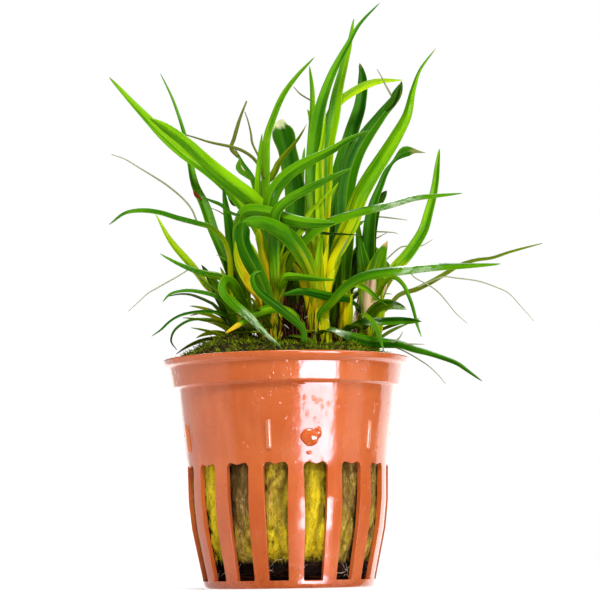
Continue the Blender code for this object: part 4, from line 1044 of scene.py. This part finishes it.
class Blades:
    """Keeled leaf blades, each closed round its spine and rounded at its rims, gathered into one mesh."""

    def __init__(self):
        self.points, self.faces, self.uv, self.mm, self.count = [], [], [], [], 0
        self.tones = {"own": [], "dry": [], "pale": [], "wet": []}

    def add(self, spine, across, half, seed, dry=0.0, pale=1.0, wet=(), thick=0.42, fold=0.45, wave=0.1):
        half = np.maximum(half, 0.03)
        normal = unit(np.cross(directions(spine), across))
        rows, count = len(spine), len(SECTION)
        share = lengths_along(spine)
        rng = np.random.default_rng(seed)
        phase = rng.uniform(0, 6.28, 4)
        lean = np.sin(share / 5.1 + phase[0]) * 0.5 + np.sin(share / 2.7 + phase[1]) * 0.3
        both = np.sin(share / 3.9 + phase[2]) * 0.6 + np.sin(share / 1.7 + phase[3]) * 0.3
        right, left = np.clip(SECTION, 0, 1) ** 2, np.clip(-SECTION, 0, 1) ** 2
        waves = right * (both + lean)[:, None] + left * (both - lean)[:, None]
        bow = (np.sqrt(SECTION**2 + 0.03) - math.sqrt(0.03)) / (math.sqrt(1.03) - math.sqrt(0.03))
        lift = half[:, None] * (fold * bow + wave * waves)
        body = np.sqrt(np.clip(1 - SECTION**2, 0, 1)) ** 0.8
        depth = thick / 2 * np.minimum(1.0, 0.25 + half)[:, None]
        sideways = SECTION * half[:, None]
        flat = spine[:, None] + across[:, None] * sideways[:, :, None]
        for side, groove in ((1.0, -0.25), (-1.0, 0.5)):
            offset = side * np.maximum(depth * body * (1 + groove * np.exp(-((SECTION / 0.16) ** 2))), 0.02)
            self.points.append((flat + normal[:, None] * (lift + offset)[:, :, None]).reshape(-1, 3))
        self.close(rows, count)
        placed = np.tile(np.repeat(1 - share / share[-1], count), 2)
        self.uv.append(np.stack([placed, np.tile((SECTION + 1) / 2, 2 * rows)], axis=1))
        from_foot = placed * share[-1]
        reach = PALE_END * max(1.0, pale)
        sheen = np.zeros(len(placed))
        if wet:
            sheen = np.clip((placed - wet[0]) / 0.05, 0, 1) * np.clip((wet[1] - placed) / 0.05, 0, 1)
        self.tones["dry"].append(np.clip((placed - (1 - 0.16 * dry)) / 0.06, 0, 1) * min(1, dry * 4))
        self.tones["pale"].append(np.clip((reach - from_foot) / (reach - PALE_START), 0, 1) * min(1.0, pale))
        self.tones["wet"].append(sheen)
        self.tones["own"].append(np.full(len(placed), rng.uniform(0, 1)))
        apart = rng.uniform(0, 900, 2)
        sideways = np.tile(sideways.ravel(), 2) + apart[1] + np.repeat([0, 40], rows * count)
        self.mm.append(np.stack([from_foot + apart[0], sideways], axis=1))
        self.count += len(placed)

    def close(self, rows, count):
        """The faces of the upper and the lower side of a blade, of its rims and of its ends."""
        start, under = self.count, rows * count
        for a in range(start, start + under - count, count):
            b = a + count
            self.faces.append((a, under + a, under + b, b))
            for c in range(count - 1):
                self.faces.append((a + c, b + c, b + c + 1, a + c + 1))
                self.faces.append((under + a + c, under + a + c + 1, under + b + c + 1, under + b + c))
            self.faces.append((a + count - 1, b + count - 1, under + b + count - 1, under + a + count - 1))
        last = start + under - count
        for top, bottom in ((start, start + under), (last + under, last)):
            self.faces.append((*range(top, top + count), *reversed(range(bottom, bottom + count))))

    def build(self, name, style, looks, replaces=()):
        add(name, np.vstack(self.points), self.faces, looks[style],
            uv={"UVMap": np.vstack(self.uv), "mm": np.vstack(self.mm)}, replaces=replaces,
            floats={label: np.concatenate(values) for label, values in self.tones.items()})


def crown_centre(name, z):
    (x, y), (lean_x, lean_y), top, _, _ = CROWNS[name]
    share = (z - CROWN_FOOT) / (top - CROWN_FOOT)
    return np.array([x + lean_x * share, y + lean_y * share])


def crown_radius(name, z):
    _, _, top, radius, _ = CROWNS[name]
    share = max(0.0, (z - CROWN_FOOT) / (top - CROWN_FOOT))
    return radius * (1 - 0.45 * share**1.5)


def crown_side(name, z, out, reach):
    """The point at a height that lies so far out of a crown's centre."""
    return np.array([*crown_centre(name, z), z]) + out * reach


def with_sheath(spine, across, half, foot_width):
    """The leaf carried on down its crown as a sheath that hugs it."""
    foot = spine[-1]
    crown = min(CROWNS, key=lambda name: np.linalg.norm(crown_centre(name, foot[2]) - foot[:2]))
    away = foot[:2] - crown_centre(crown, foot[2])
    out = np.array([*away / np.linalg.norm(away), 0.0])
    heights = np.arange(foot[2] - 1.2, SHEATH_FOOT, -1.4)
    if np.linalg.norm(away) > SHEATH_REACH or not len(heights):
        return spine, across, half
    below = [crown_side(crown, z, out, crown_radius(crown, z) + 0.25) for z in heights]
    spine = np.vstack([spine, below])
    across = np.vstack([across, np.repeat(across[-1:], len(below), axis=0)])
    full = foot_width / 2
    grown = np.linspace(max(half[-1], 0.7 * full), full * 1.05, len(below))
    length = lengths_along(spine)[: len(half)]
    ease = np.clip(1 - (length[-1] - length) / 9.0, 0, 1) ** 1.3
    half = half * (1 - ease) + np.maximum(half, 0.72 * full) * ease
    return spine, across, np.concatenate([half, grown])


def facing(line, toward):
    """Directions across a line so that its upper side turns toward a direction."""
    toward = np.broadcast_to(np.asarray(toward, float), line.shape)
    return np.cross(across_line(line, toward), directions(line))


def make_leaves(looks):
    """Every leaf of the CAD. Gives back the points of their spines."""
    lines = []
    for seed, (name, (style, dry, foot_width, pale, *wet)) in enumerate(LEAVES.items()):
        spine, across, half = spine_from("leaf_" + name)
        blunt = 0.8 if half[1] > 1.0 and np.linalg.norm(spine[1] - spine[0]) < 3 else 0.0
        spine, across, half = smooth_leaf(*with_sheath(spine, across, half, foot_width), blunt)
        from_tip = np.linspace(0, lengths_along(spine)[-1], len(spine))
        for more, place, reach in WIDER_LEAVES.get(name, ()):
            half = half * (1 + more * np.exp(-(((from_tip - place) / reach) ** 2)))
        if name in TURNED_LEAVES:
            front = facing(spine, FRONT)
            front *= np.sign((front * across).sum(axis=1, keepdims=True))
            share = np.clip(2 - 2.2 * np.linspace(0, 1, len(spine)), 0, 1)[:, None]
            across = unit(front * share + across * (1 - share))
        blades = Blades()
        blades.add(spine, across, half, seed, dry, pale, *wet)
        blades.build("blade_" + name, style, looks, replaces=["leaf_" + name])
        lines.append(spine)
    return np.vstack(lines)


def seen(x, z, y):
    """The point at depth y that is seen where (x, z) is on the plane through the pot's axis."""
    scale = (EYE_DISTANCE + y) / EYE_DISTANCE
    return np.array([x * scale, y, EYE_HEIGHT + (z - EYE_HEIGHT) * scale])


def leaf_behind(lines, x, z):
    """The point of a leaf's spine that is seen nearest to (x, z)."""
    scale = EYE_DISTANCE / (EYE_DISTANCE + lines[:, 1])
    off = np.hypot(lines[:, 0] * scale - x, EYE_HEIGHT + (lines[:, 2] - EYE_HEIGHT) * scale - z)
    return lines[np.argmin(off)]


def line_from(points, depth, crown, lines):
    """A line through seen points and on down its crown, or else to the leaf that it meets."""
    points = np.array(points, float)
    if not crown:
        foot = leaf_behind(lines, *points[-1])
        depth = (foot[1] + depth[0], foot[1])
    length = lengths_along(points)
    depths = np.interp(length / length[-1], [0, 1], depth)
    line = [seen(x, z, y) for (x, z), y in zip(points, depths)]
    if crown:
        last = line[-1]
        x, y = crown_centre(crown, 55)
        out = np.array([1.0 if last[0] > x else -1.0, 1.0 if depth[1] > y else -1.0, 0.0])
        for z in (56.0, 52.0, 48.0, 46.5):
            if z < last[2] - 2:
                line.append(crown_side(crown, z, out, crown_radius(crown, z) * 0.7 + 0.2))
    else:
        line[-1] = foot
    return curve_through(line, max(12, int((length[-1] + 12) / 0.9)))


def taper(count, width):
    """Half widths of a pointed leaf from its tip to its foot, three quarters as wide there."""
    t = np.linspace(0, 1, count)
    return width / 2 * np.clip(t / 0.35, 0, 1) ** 0.7 * (1 - 0.25 * np.clip((t - 0.5) * 2, 0, 1))


def add_tuft(gathered, rng, crown, bearing, spread, count, lengths, width, rises, feet):
    """Short leaves that rise from a crown and bow over, and lie on the moss where they reach it."""
    for _ in range(count):
        turn = math.radians(bearing + rng.normal(0, spread))
        out = np.array([math.sin(turn), -math.cos(turn), 0.0])
        length, rise, droop = rng.uniform(*lengths), math.radians(rng.uniform(*rises)), rng.uniform(0.1, 0.9)
        z = rng.uniform(*feet)
        spot = crown_side(crown, z, out, crown_radius(crown, z) * 0.8)
        line = [spot - 2.0 * UPWARD, spot]
        for t in np.linspace(0.08, 1, 9):
            angle = rise + (math.pi / 2 - rise) * max(0, 1 - t / 0.25) ** 2 - droop * t
            spot = spot + (out * math.cos(angle) + UPWARD * math.sin(angle)) * length / 9
            line.append(np.array([spot[0], spot[1], max(spot[2], moss_height(spot[0], spot[1]) + 1.0)]))
        line = curve_through(line[::-1], int(length / 0.8) + 8)
        style = rng.choice(["green", "green", "deep", "deep", "dark"])
        half = taper(len(line), width * rng.uniform(0.7, 1.25))
        gathered[style].add(line, facing(line, UPWARD - 0.5 * out), half, seed=2000 + int(rng.integers(9999)),
                            dry=rng.choice([0, 0, 0.3, 0.9]), pale=0.7, thick=0.34)


def add_fan(gathered, rng, crown, plane, count, heights, width, main_style):
    """Sheaths that stand on two sides of a crown and flare outwards."""
    for k in range(count):
        turn = math.radians(plane + 180 * (k % 2) + rng.normal(0, 22))
        out = np.array(polar(1.0, turn, 0.0))
        height, flare = rng.uniform(*heights), rng.uniform(0.5, 2.6)
        line = []
        for t in np.linspace(0, 1, 9):
            z = 46.4 + height * t
            reach = crown_radius(crown, min(z, 58)) * (0.75 + 0.1 * (k // 2)) + flare * t**2.2 * height / 12
            line.append(crown_side(crown, z, out, reach))
        line = curve_through(line[::-1], int(height / 0.7) + 6)
        full = width * rng.uniform(0.85, 1.15) / 2
        half = full * np.clip(np.linspace(0, 1, len(line)) / 0.5, 0, 1) ** 0.62
        style = "pale" if main_style == "pale" else rng.choice([main_style, main_style, "fresh", "green"])
        gathered[style].add(line, facing(line, -out), half, seed=4000 + int(rng.integers(9999)),
                            pale=1.2 if crown in "abc" else 0.7, thick=0.4, fold=0.75, wave=0.06)


def make_small_leaves(looks, lines):
    """Small leaves read from the photograph, then short ones and sheaths round every crown."""
    gathered = {style: Blades() for style in looks}
    for seed, (style, dry, width, crown, depth, points, *toward) in enumerate(SMALL_LEAVES, 900):
        line = line_from(points, depth, crown, lines)
        across = facing(line, toward[0] if toward else FRONT)
        pale = 1.2 if style == "gold" else 0.6 if crown else 0.1
        half = taper(len(line), width)
        gathered[style].add(line, across, half, seed, dry, pale, thick=min(0.4, 0.4 * width))
    rng = np.random.default_rng(23)
    for tuft in TUFTS:
        add_tuft(gathered, rng, *tuft)
    for sheaths in FANS:
        add_fan(gathered, rng, *sheaths)
    for style, blades in gathered.items():
        if blades.count:
            blades.build("small_leaves_" + style, style, looks)


# Twigs, roots, drops and crowns


ROOT_FOOT = 45.8
CROWN_ROOTS, MIDDLE_ROOTS, HEEL_ROOTS, WHITE_HEEL_ROOTS, WHITE_ROOTS = 420, 240, 900, 46, 36
DROP_SIDES, DROP_RINGS, SMALL_DROPS = 14, 5, 110
# The drops that can be told apart: bearing, height, half width, half height, how proud they are, and how far
# their tops lie to the right
DROPS = ((16.6, 30.3, 0.95, 1.2, 0.4, 0.0), (11.6, 29.4, 1.7, 1.7, 0.6, 1.3),
         (12.0, 26.4, 0.6, 0.45, 0.2, 0.0), (54.0, 35.3, 0.2, 1.3, 0.14, 0.0),
         (52.0, 29.7, 0.2, 2.3, 0.16, 0.0), (7.5, 40.0, 0.9, 0.4, 0.25, 0.5))
STEM_SIDES, STEM_RINGS = 40, 26


def make_twigs(looks, lines):
    """Dry twigs and hair-thin dead leaf ends."""
    gathered = {"twig": Strands(), "hair": Strands()}
    for kind, width, depth, points in THREADS:
        radii = (width * 0.2, width * 0.5, width * 0.5)
        gathered[kind].add(line_from(points, depth, "", lines), radii, 6, 0.5)
    gathered["twig"].build("twigs", looks["twig"], "crown")
    gathered["hair"].build("dead_leaf_ends", looks["hair"], "crown")


def make_roots(looks):
    """Brown roots round the crowns, in their middle and at the rockwool's heel, and a few white ones."""
    rng = np.random.default_rng(31)
    brown, white = Strands(), Strands()
    for _ in range(CROWN_ROOTS):
        name = rng.choice(list(CROWNS))
        angle, far = rng.uniform(0, 2 * math.pi), rng.uniform(0.6, 3.4)
        x, y = crown_centre(name, 46) + far * np.array([math.cos(angle), math.sin(angle)])
        rise = rng.uniform(49.5, 58.5 - far) - ROOT_FOOT
        lean = rng.normal(0, 0.7, 2)
        line = [(x + lean[0] * t + 0.3 * math.sin(9 * t + angle), y + lean[1] * t, ROOT_FOOT + rise * t)
                for t in np.linspace(0, 1, 8)]
        brown.add(line, (rng.uniform(0.1, 0.26), 0.13, 0.05), 5, rng.uniform(0, 1) ** 2)
    for _ in range(MIDDLE_ROOTS):
        x, y, rise = rng.normal(1.8, 2.1), rng.uniform(-6.5, 2.0), rng.uniform(49, 60) - ROOT_FOOT
        bend, phase = rng.normal(0, 0.7, 2), rng.uniform(0, 6.28)
        line = [(x + bend[0] * math.sin(5 * t + phase), y + bend[1] * math.sin(4 * t + phase),
                 ROOT_FOOT + rise * t) for t in np.linspace(0, 1, 9)]
        brown.add(line, (0.2, rng.uniform(0.08, 0.24), 0.05), 5, rng.uniform(0, 1) ** 3)
    for _ in range(HEEL_ROOTS):
        angle, z, sweep = rng.uniform(0, 2 * math.pi), rng.uniform(1.6, 5.6), rng.normal(0, 0.2)
        radius, climb = rng.uniform(15.2, 16.1), rng.uniform(-0.5, 2.0)
        line = [polar(radius, angle + sweep * t, max(1.5, z + climb * t)) for t in np.linspace(0, 1, 5)]
        brown.add(line, (0.05, rng.uniform(0.05, 0.13), 0.04), 4, rng.uniform(0, 1) ** 4 * 0.7)
    for _ in range(WHITE_HEEL_ROOTS):
        angle, z = rng.uniform(0, 2 * math.pi), rng.uniform(2.0, 5.6)
        radius, sweep, climb = rng.uniform(15.7, 16.0), rng.normal(0, 0.2), rng.uniform(-0.6, 2.6)
        line = [polar(radius + 0.2 * math.sin(5 * t), angle + sweep * t,
                      max(1.6, z + climb * t + 0.3 * math.sin(11 * t + angle))) for t in np.linspace(0, 1, 8)]
        white.add(line, (0.03, 0.06, 0.03), 4, rng.uniform(0, 1))
    for _ in range(WHITE_ROOTS):
        x, y, z = rng.normal(3.0, 4.5), rng.uniform(-8, 3), rng.uniform(47.5, 57)
        over, rise = polar(0.9, rng.uniform(0, 2 * math.pi), 0), rng.uniform(-0.8, 0.8)
        line = [(x + over[0] * t, y + over[1] * t, z + rise * t) for t in np.linspace(0, 1, 4)]
        white.add(line, (0.04, 0.08, 0.04), 4, rng.uniform(0, 1))
    brown.build("brown_roots", looks["root"], "crown")
    white.build("white_roots", looks["white_root"], "crown")


def make_drops(material):
    """Water drops on the wall and the band: low domes with rounded rims."""
    rng = np.random.default_rng(47)
    spots = list(DROPS)
    for _ in range(SMALL_DROPS):
        size, bearing = rng.uniform(0.1, 0.32), rng.uniform(-180, 180)
        if not 4 < bearing < 30:
            z, tall = rng.uniform(26.5, 45.0), size * rng.uniform(0.8, 1.9)
            spots.append((bearing, z, size, tall, size * 0.45, 0.0))
    points, faces = [], []
    for bearing, z, wide, tall, proud, skew in spots:
        turn = math.radians(bearing - 90)
        radius = wall_radius(z)
        if z >= BAND_FOOT:
            radius = np.interp(z, (BAND_FOOT, 45.2), (BAND_FOOT_RADIUS, BAND_TOP_RADIUS))
        out, side = np.array(polar(1, turn, 0)), np.array([-math.sin(turn), math.cos(turn), 0])
        dome = (DROP_RINGS, DROP_SIDES, len(points))
        faces += ring_ends(*dome) + ring_sides(*dome)
        for ring in range(DROP_RINGS):
            rise = math.pi / 2 * ring / (DROP_RINGS - 1)
            lift, width = math.sin(rise), max(0.02, math.cos(rise))
            for angle in turns(DROP_SIDES):
                x = wide * width * math.cos(angle) * (1 + 0.12 * math.sin(3 * angle + bearing)) + skew * lift
                h = tall * width * math.sin(angle) * (1 + 0.1 * math.sin(2 * angle + z))
                curve = math.sqrt(max(radius**2 - x * x, 0)) - radius
                slope = wall_radius(min(z + h, 40)) - wall_radius(min(z, 40))
                outward = radius - 0.04 + proud * lift + curve + slope
                points.append(out * outward + side * x + np.array([0, 0, z + h]))
    add("water_drops", points, faces, material)


def make_crowns():
    looks = {name: crown_looks("crown_" + name, *tones) for name, tones in CROWN_TONES.items()}
    for name, (_, _, top, _, style) in CROWNS.items():
        points, uv = [], []
        for z in np.linspace(CROWN_FOOT, top, STEM_RINGS):
            x, y = crown_centre(name, z)
            share = (z - CROWN_FOOT) / (top - CROWN_FOOT)
            for angle in turns(STEM_SIDES):
                out = np.array(polar(1, angle, 0))
                lumps = 0.05 * turbulence(out[0] * 2, out[1] * 2, 0.3 * z + x)
                ridges = 0.07 * math.cos(7 * angle + 0.1 * z) + lumps
                radius = crown_radius(name, z) * (1 + ridges) * (1 - max(0, share - 0.94) * 8)
                points.append((x, y, z) + out * radius)
                uv.append((share, angle / (2 * math.pi)))
        faces = ring_ends(STEM_RINGS, STEM_SIDES) + ring_sides(STEM_RINGS, STEM_SIDES)
        add("stem_" + name, points, faces, looks[style],
            uv={"UVMap": uv}, replaces=["crown_" + name])


# Stage


# The round floor ends where the light on it fades, in metres
FLOOR_RADIUS, FLOOR_SIDES = 0.52, 128
# Each soft box: bearing in degrees, 0 in front and 90 to the right, then height, distance, width and tallness
# in metres, and radiance, where 1 is white
SOFT_BOXES = {"key": (6, 0.9, 0.75, 0.4, 0.4, 24), "fill": (62, 0.35, 0.95, 0.5, 0.5, 4),
              "back": (175, 0.75, 0.8, 0.6, 0.5, 8)}
AIM = Vector((0, 0, 0.03))
# Linear light: where it falls on things, and where it is mirrored between the panels
STUDIO, STUDIO_LOW = (0.38, 0.38, 0.38, 1), (0.1, 0.1, 0.1, 1)
BLACK, WHITE = (0, 0, 0, 1), (1, 1, 1, 1)
# Panels of light round the pot that only show as shine: from bearing, to bearing, light. A rise is from, to
PANELS = ((-180, -152, (1.8, 1.7, 1.7)), (-152, -63, (0.8, 0.8, 0.83)), (66, 90, (0.9, 0.9, 0.9)),
          (120, 180, (2, 2, 2)))
WINDOW = ((14, 52, (21, 18.5, 23)),)
PANELS_RISE, WINDOW_RISE = (-90, 7), (-20, -6.1)


def make_stage():
    mesh = bpy.data.meshes.new("floor")
    rim = [polar(FLOOR_RADIUS, turn, 0) for turn in turns(FLOOR_SIDES)]
    mesh.from_pydata(rim, [], [tuple(range(FLOOR_SIDES))])
    look = Looks("pale_floor", Roughness=0.9, Specular_IOR_Level=0.1)
    mottled = look.clouds(0.002, 0.002)
    look.put("Base Color", look.mix(mottled, (0.93, 0.93, 0.93, 1), (0.95, 0.95, 0.95, 1)))
    mesh.materials.append(look.material)
    floor = linked("floor", mesh)
    floor.visible_glossy = False


def make_lights():
    for name, (bearing, height, distance, width, tall, radiance) in SOFT_BOXES.items():
        data = bpy.data.lights.new(name, "AREA")
        data.shape, data.size, data.size_y = "RECTANGLE", width, tall
        data.energy = radiance * math.pi * width * tall
        light = linked(name, data)
        turn = math.radians(bearing)
        light.location = (distance * math.sin(turn), -distance * math.cos(turn), height)
        light.rotation_euler = (AIM - light.location).to_track_quat("-Z", "Y").to_euler()
    bpy.context.scene.view_settings.view_transform = "Standard"


def panels_on(tree, place, whole, panels, between):
    """Panels on a measure of so many degrees in all, each from, to and its light, with one light between."""
    made = tree.node("ShaderNodeValToRGB", {"Fac": place})
    made.color_ramp.interpolation = "CONSTANT"
    stops = [(0.0, between)]
    for start, end, light in panels:
        start, end = start / whole + 0.5, end / whole + 0.5
        stops = [stop for stop in stops if stop[0] != start] + [(start, (*light[:3], 1)), (end, between)]
    while len(made.color_ramp.elements) < len(stops):
        made.color_ramp.elements.new(1.0)
    for element, (position, light) in zip(made.color_ramp.elements, stops):
        element.position, element.color = position, light
    return made.outputs["Color"]


def make_world():
    """White where it is looked at, grey where it lights, and darker, but for panels, where it is mirrored."""
    world = bpy.data.worlds.new("studio")
    bpy.context.scene.world = world
    world.use_nodes = True
    world.cycles.sampling_method = "NONE"
    tree = Nodes(world.node_tree)
    x, y, z = tree.parts(tree.node("ShaderNodeTexCoord", {}).outputs["Generated"])
    turn = tree.maths("ARCTAN2", x, tree.times(y, -1.0))
    bearing = tree.maths("MULTIPLY_ADD", turn, 0.5 / math.pi, 0.5)
    rise = tree.maths("MULTIPLY_ADD", tree.maths("ARCSINE", z), 1 / math.pi, 0.5)
    risen = panels_on(tree, rise, 180, [(*PANELS_RISE, WHITE)], BLACK)
    shine = tree.mix(risen, STUDIO_LOW, panels_on(tree, bearing, 360, PANELS, STUDIO_LOW))
    risen = panels_on(tree, rise, 180, [(*WINDOW_RISE, WHITE)], BLACK)
    window = tree.mix(1.0, shine, panels_on(tree, bearing, 360, WINDOW, BLACK), "ADD")
    path = tree.node("ShaderNodeLightPath", {}).outputs
    lit = tree.mix(path["Is Glossy Ray"], STUDIO, tree.mix(risen, shine, window))
    tree.feed(tree.nodes["Background"].inputs["Color"], tree.mix(path["Is Camera Ray"], lit, WHITE))


def make_camera():
    pitch, yaw, roll = (math.radians(angle) for angle in (EYE_PITCH, EYE_YAW, EYE_ROLL))
    ahead = Vector((math.sin(yaw) * math.cos(pitch), math.cos(yaw) * math.cos(pitch), math.sin(pitch)))
    right = ahead.cross(Vector((0, 0, 1))).normalized()
    up = right.cross(ahead)
    tilted_right = math.cos(roll) * right - math.sin(roll) * up
    tilted_up = math.sin(roll) * right + math.cos(roll) * up
    data = bpy.data.cameras.new("camera")
    data.lens, data.sensor_width, data.clip_start = EYE_LENS, 36.0, 0.01
    camera = linked("camera", data)
    turn = Matrix((tilted_right, tilted_up, -ahead)).transposed().to_4x4()
    camera.matrix_world = Matrix.Translation((0, -EYE_DISTANCE * MM, EYE_HEIGHT * MM)) @ turn
    bpy.context.scene.camera = camera


def main():
    leaf = {name: leaf_looks("leaf_" + name, *tones) for name, tones in LEAF_TONES.items()}
    threads = {
        "twig": strand_looks("twig", (60, 84, 8), (122, 124, 44)),
        "hair": strand_looks("dead_leaf", (100, 112, 56), (178, 180, 146)),
        "root": strand_looks("brown_root", (16, 6, 2), (98, 46, 20)),
        "white_root": strand_looks("white_root", (196, 178, 150), (244, 238, 226), 0.4),
    }
    make_pot(pot_looks())
    make_rockwool(rockwool_looks(), strand_looks("rockwool_fibre", (122, 88, 32), (238, 214, 34), 0.8))
    make_moss(moss_looks(), strand_looks("moss_shoot", (26, 24, 2), (136, 154, 12), 0.8))
    make_crowns()
    lines = make_leaves(leaf)
    make_small_leaves(leaf, lines)
    make_twigs(threads, lines)
    make_roots(threads)
    make_drops(water_looks())
    make_stage()
    make_world()
    make_lights()
    make_camera()


main()
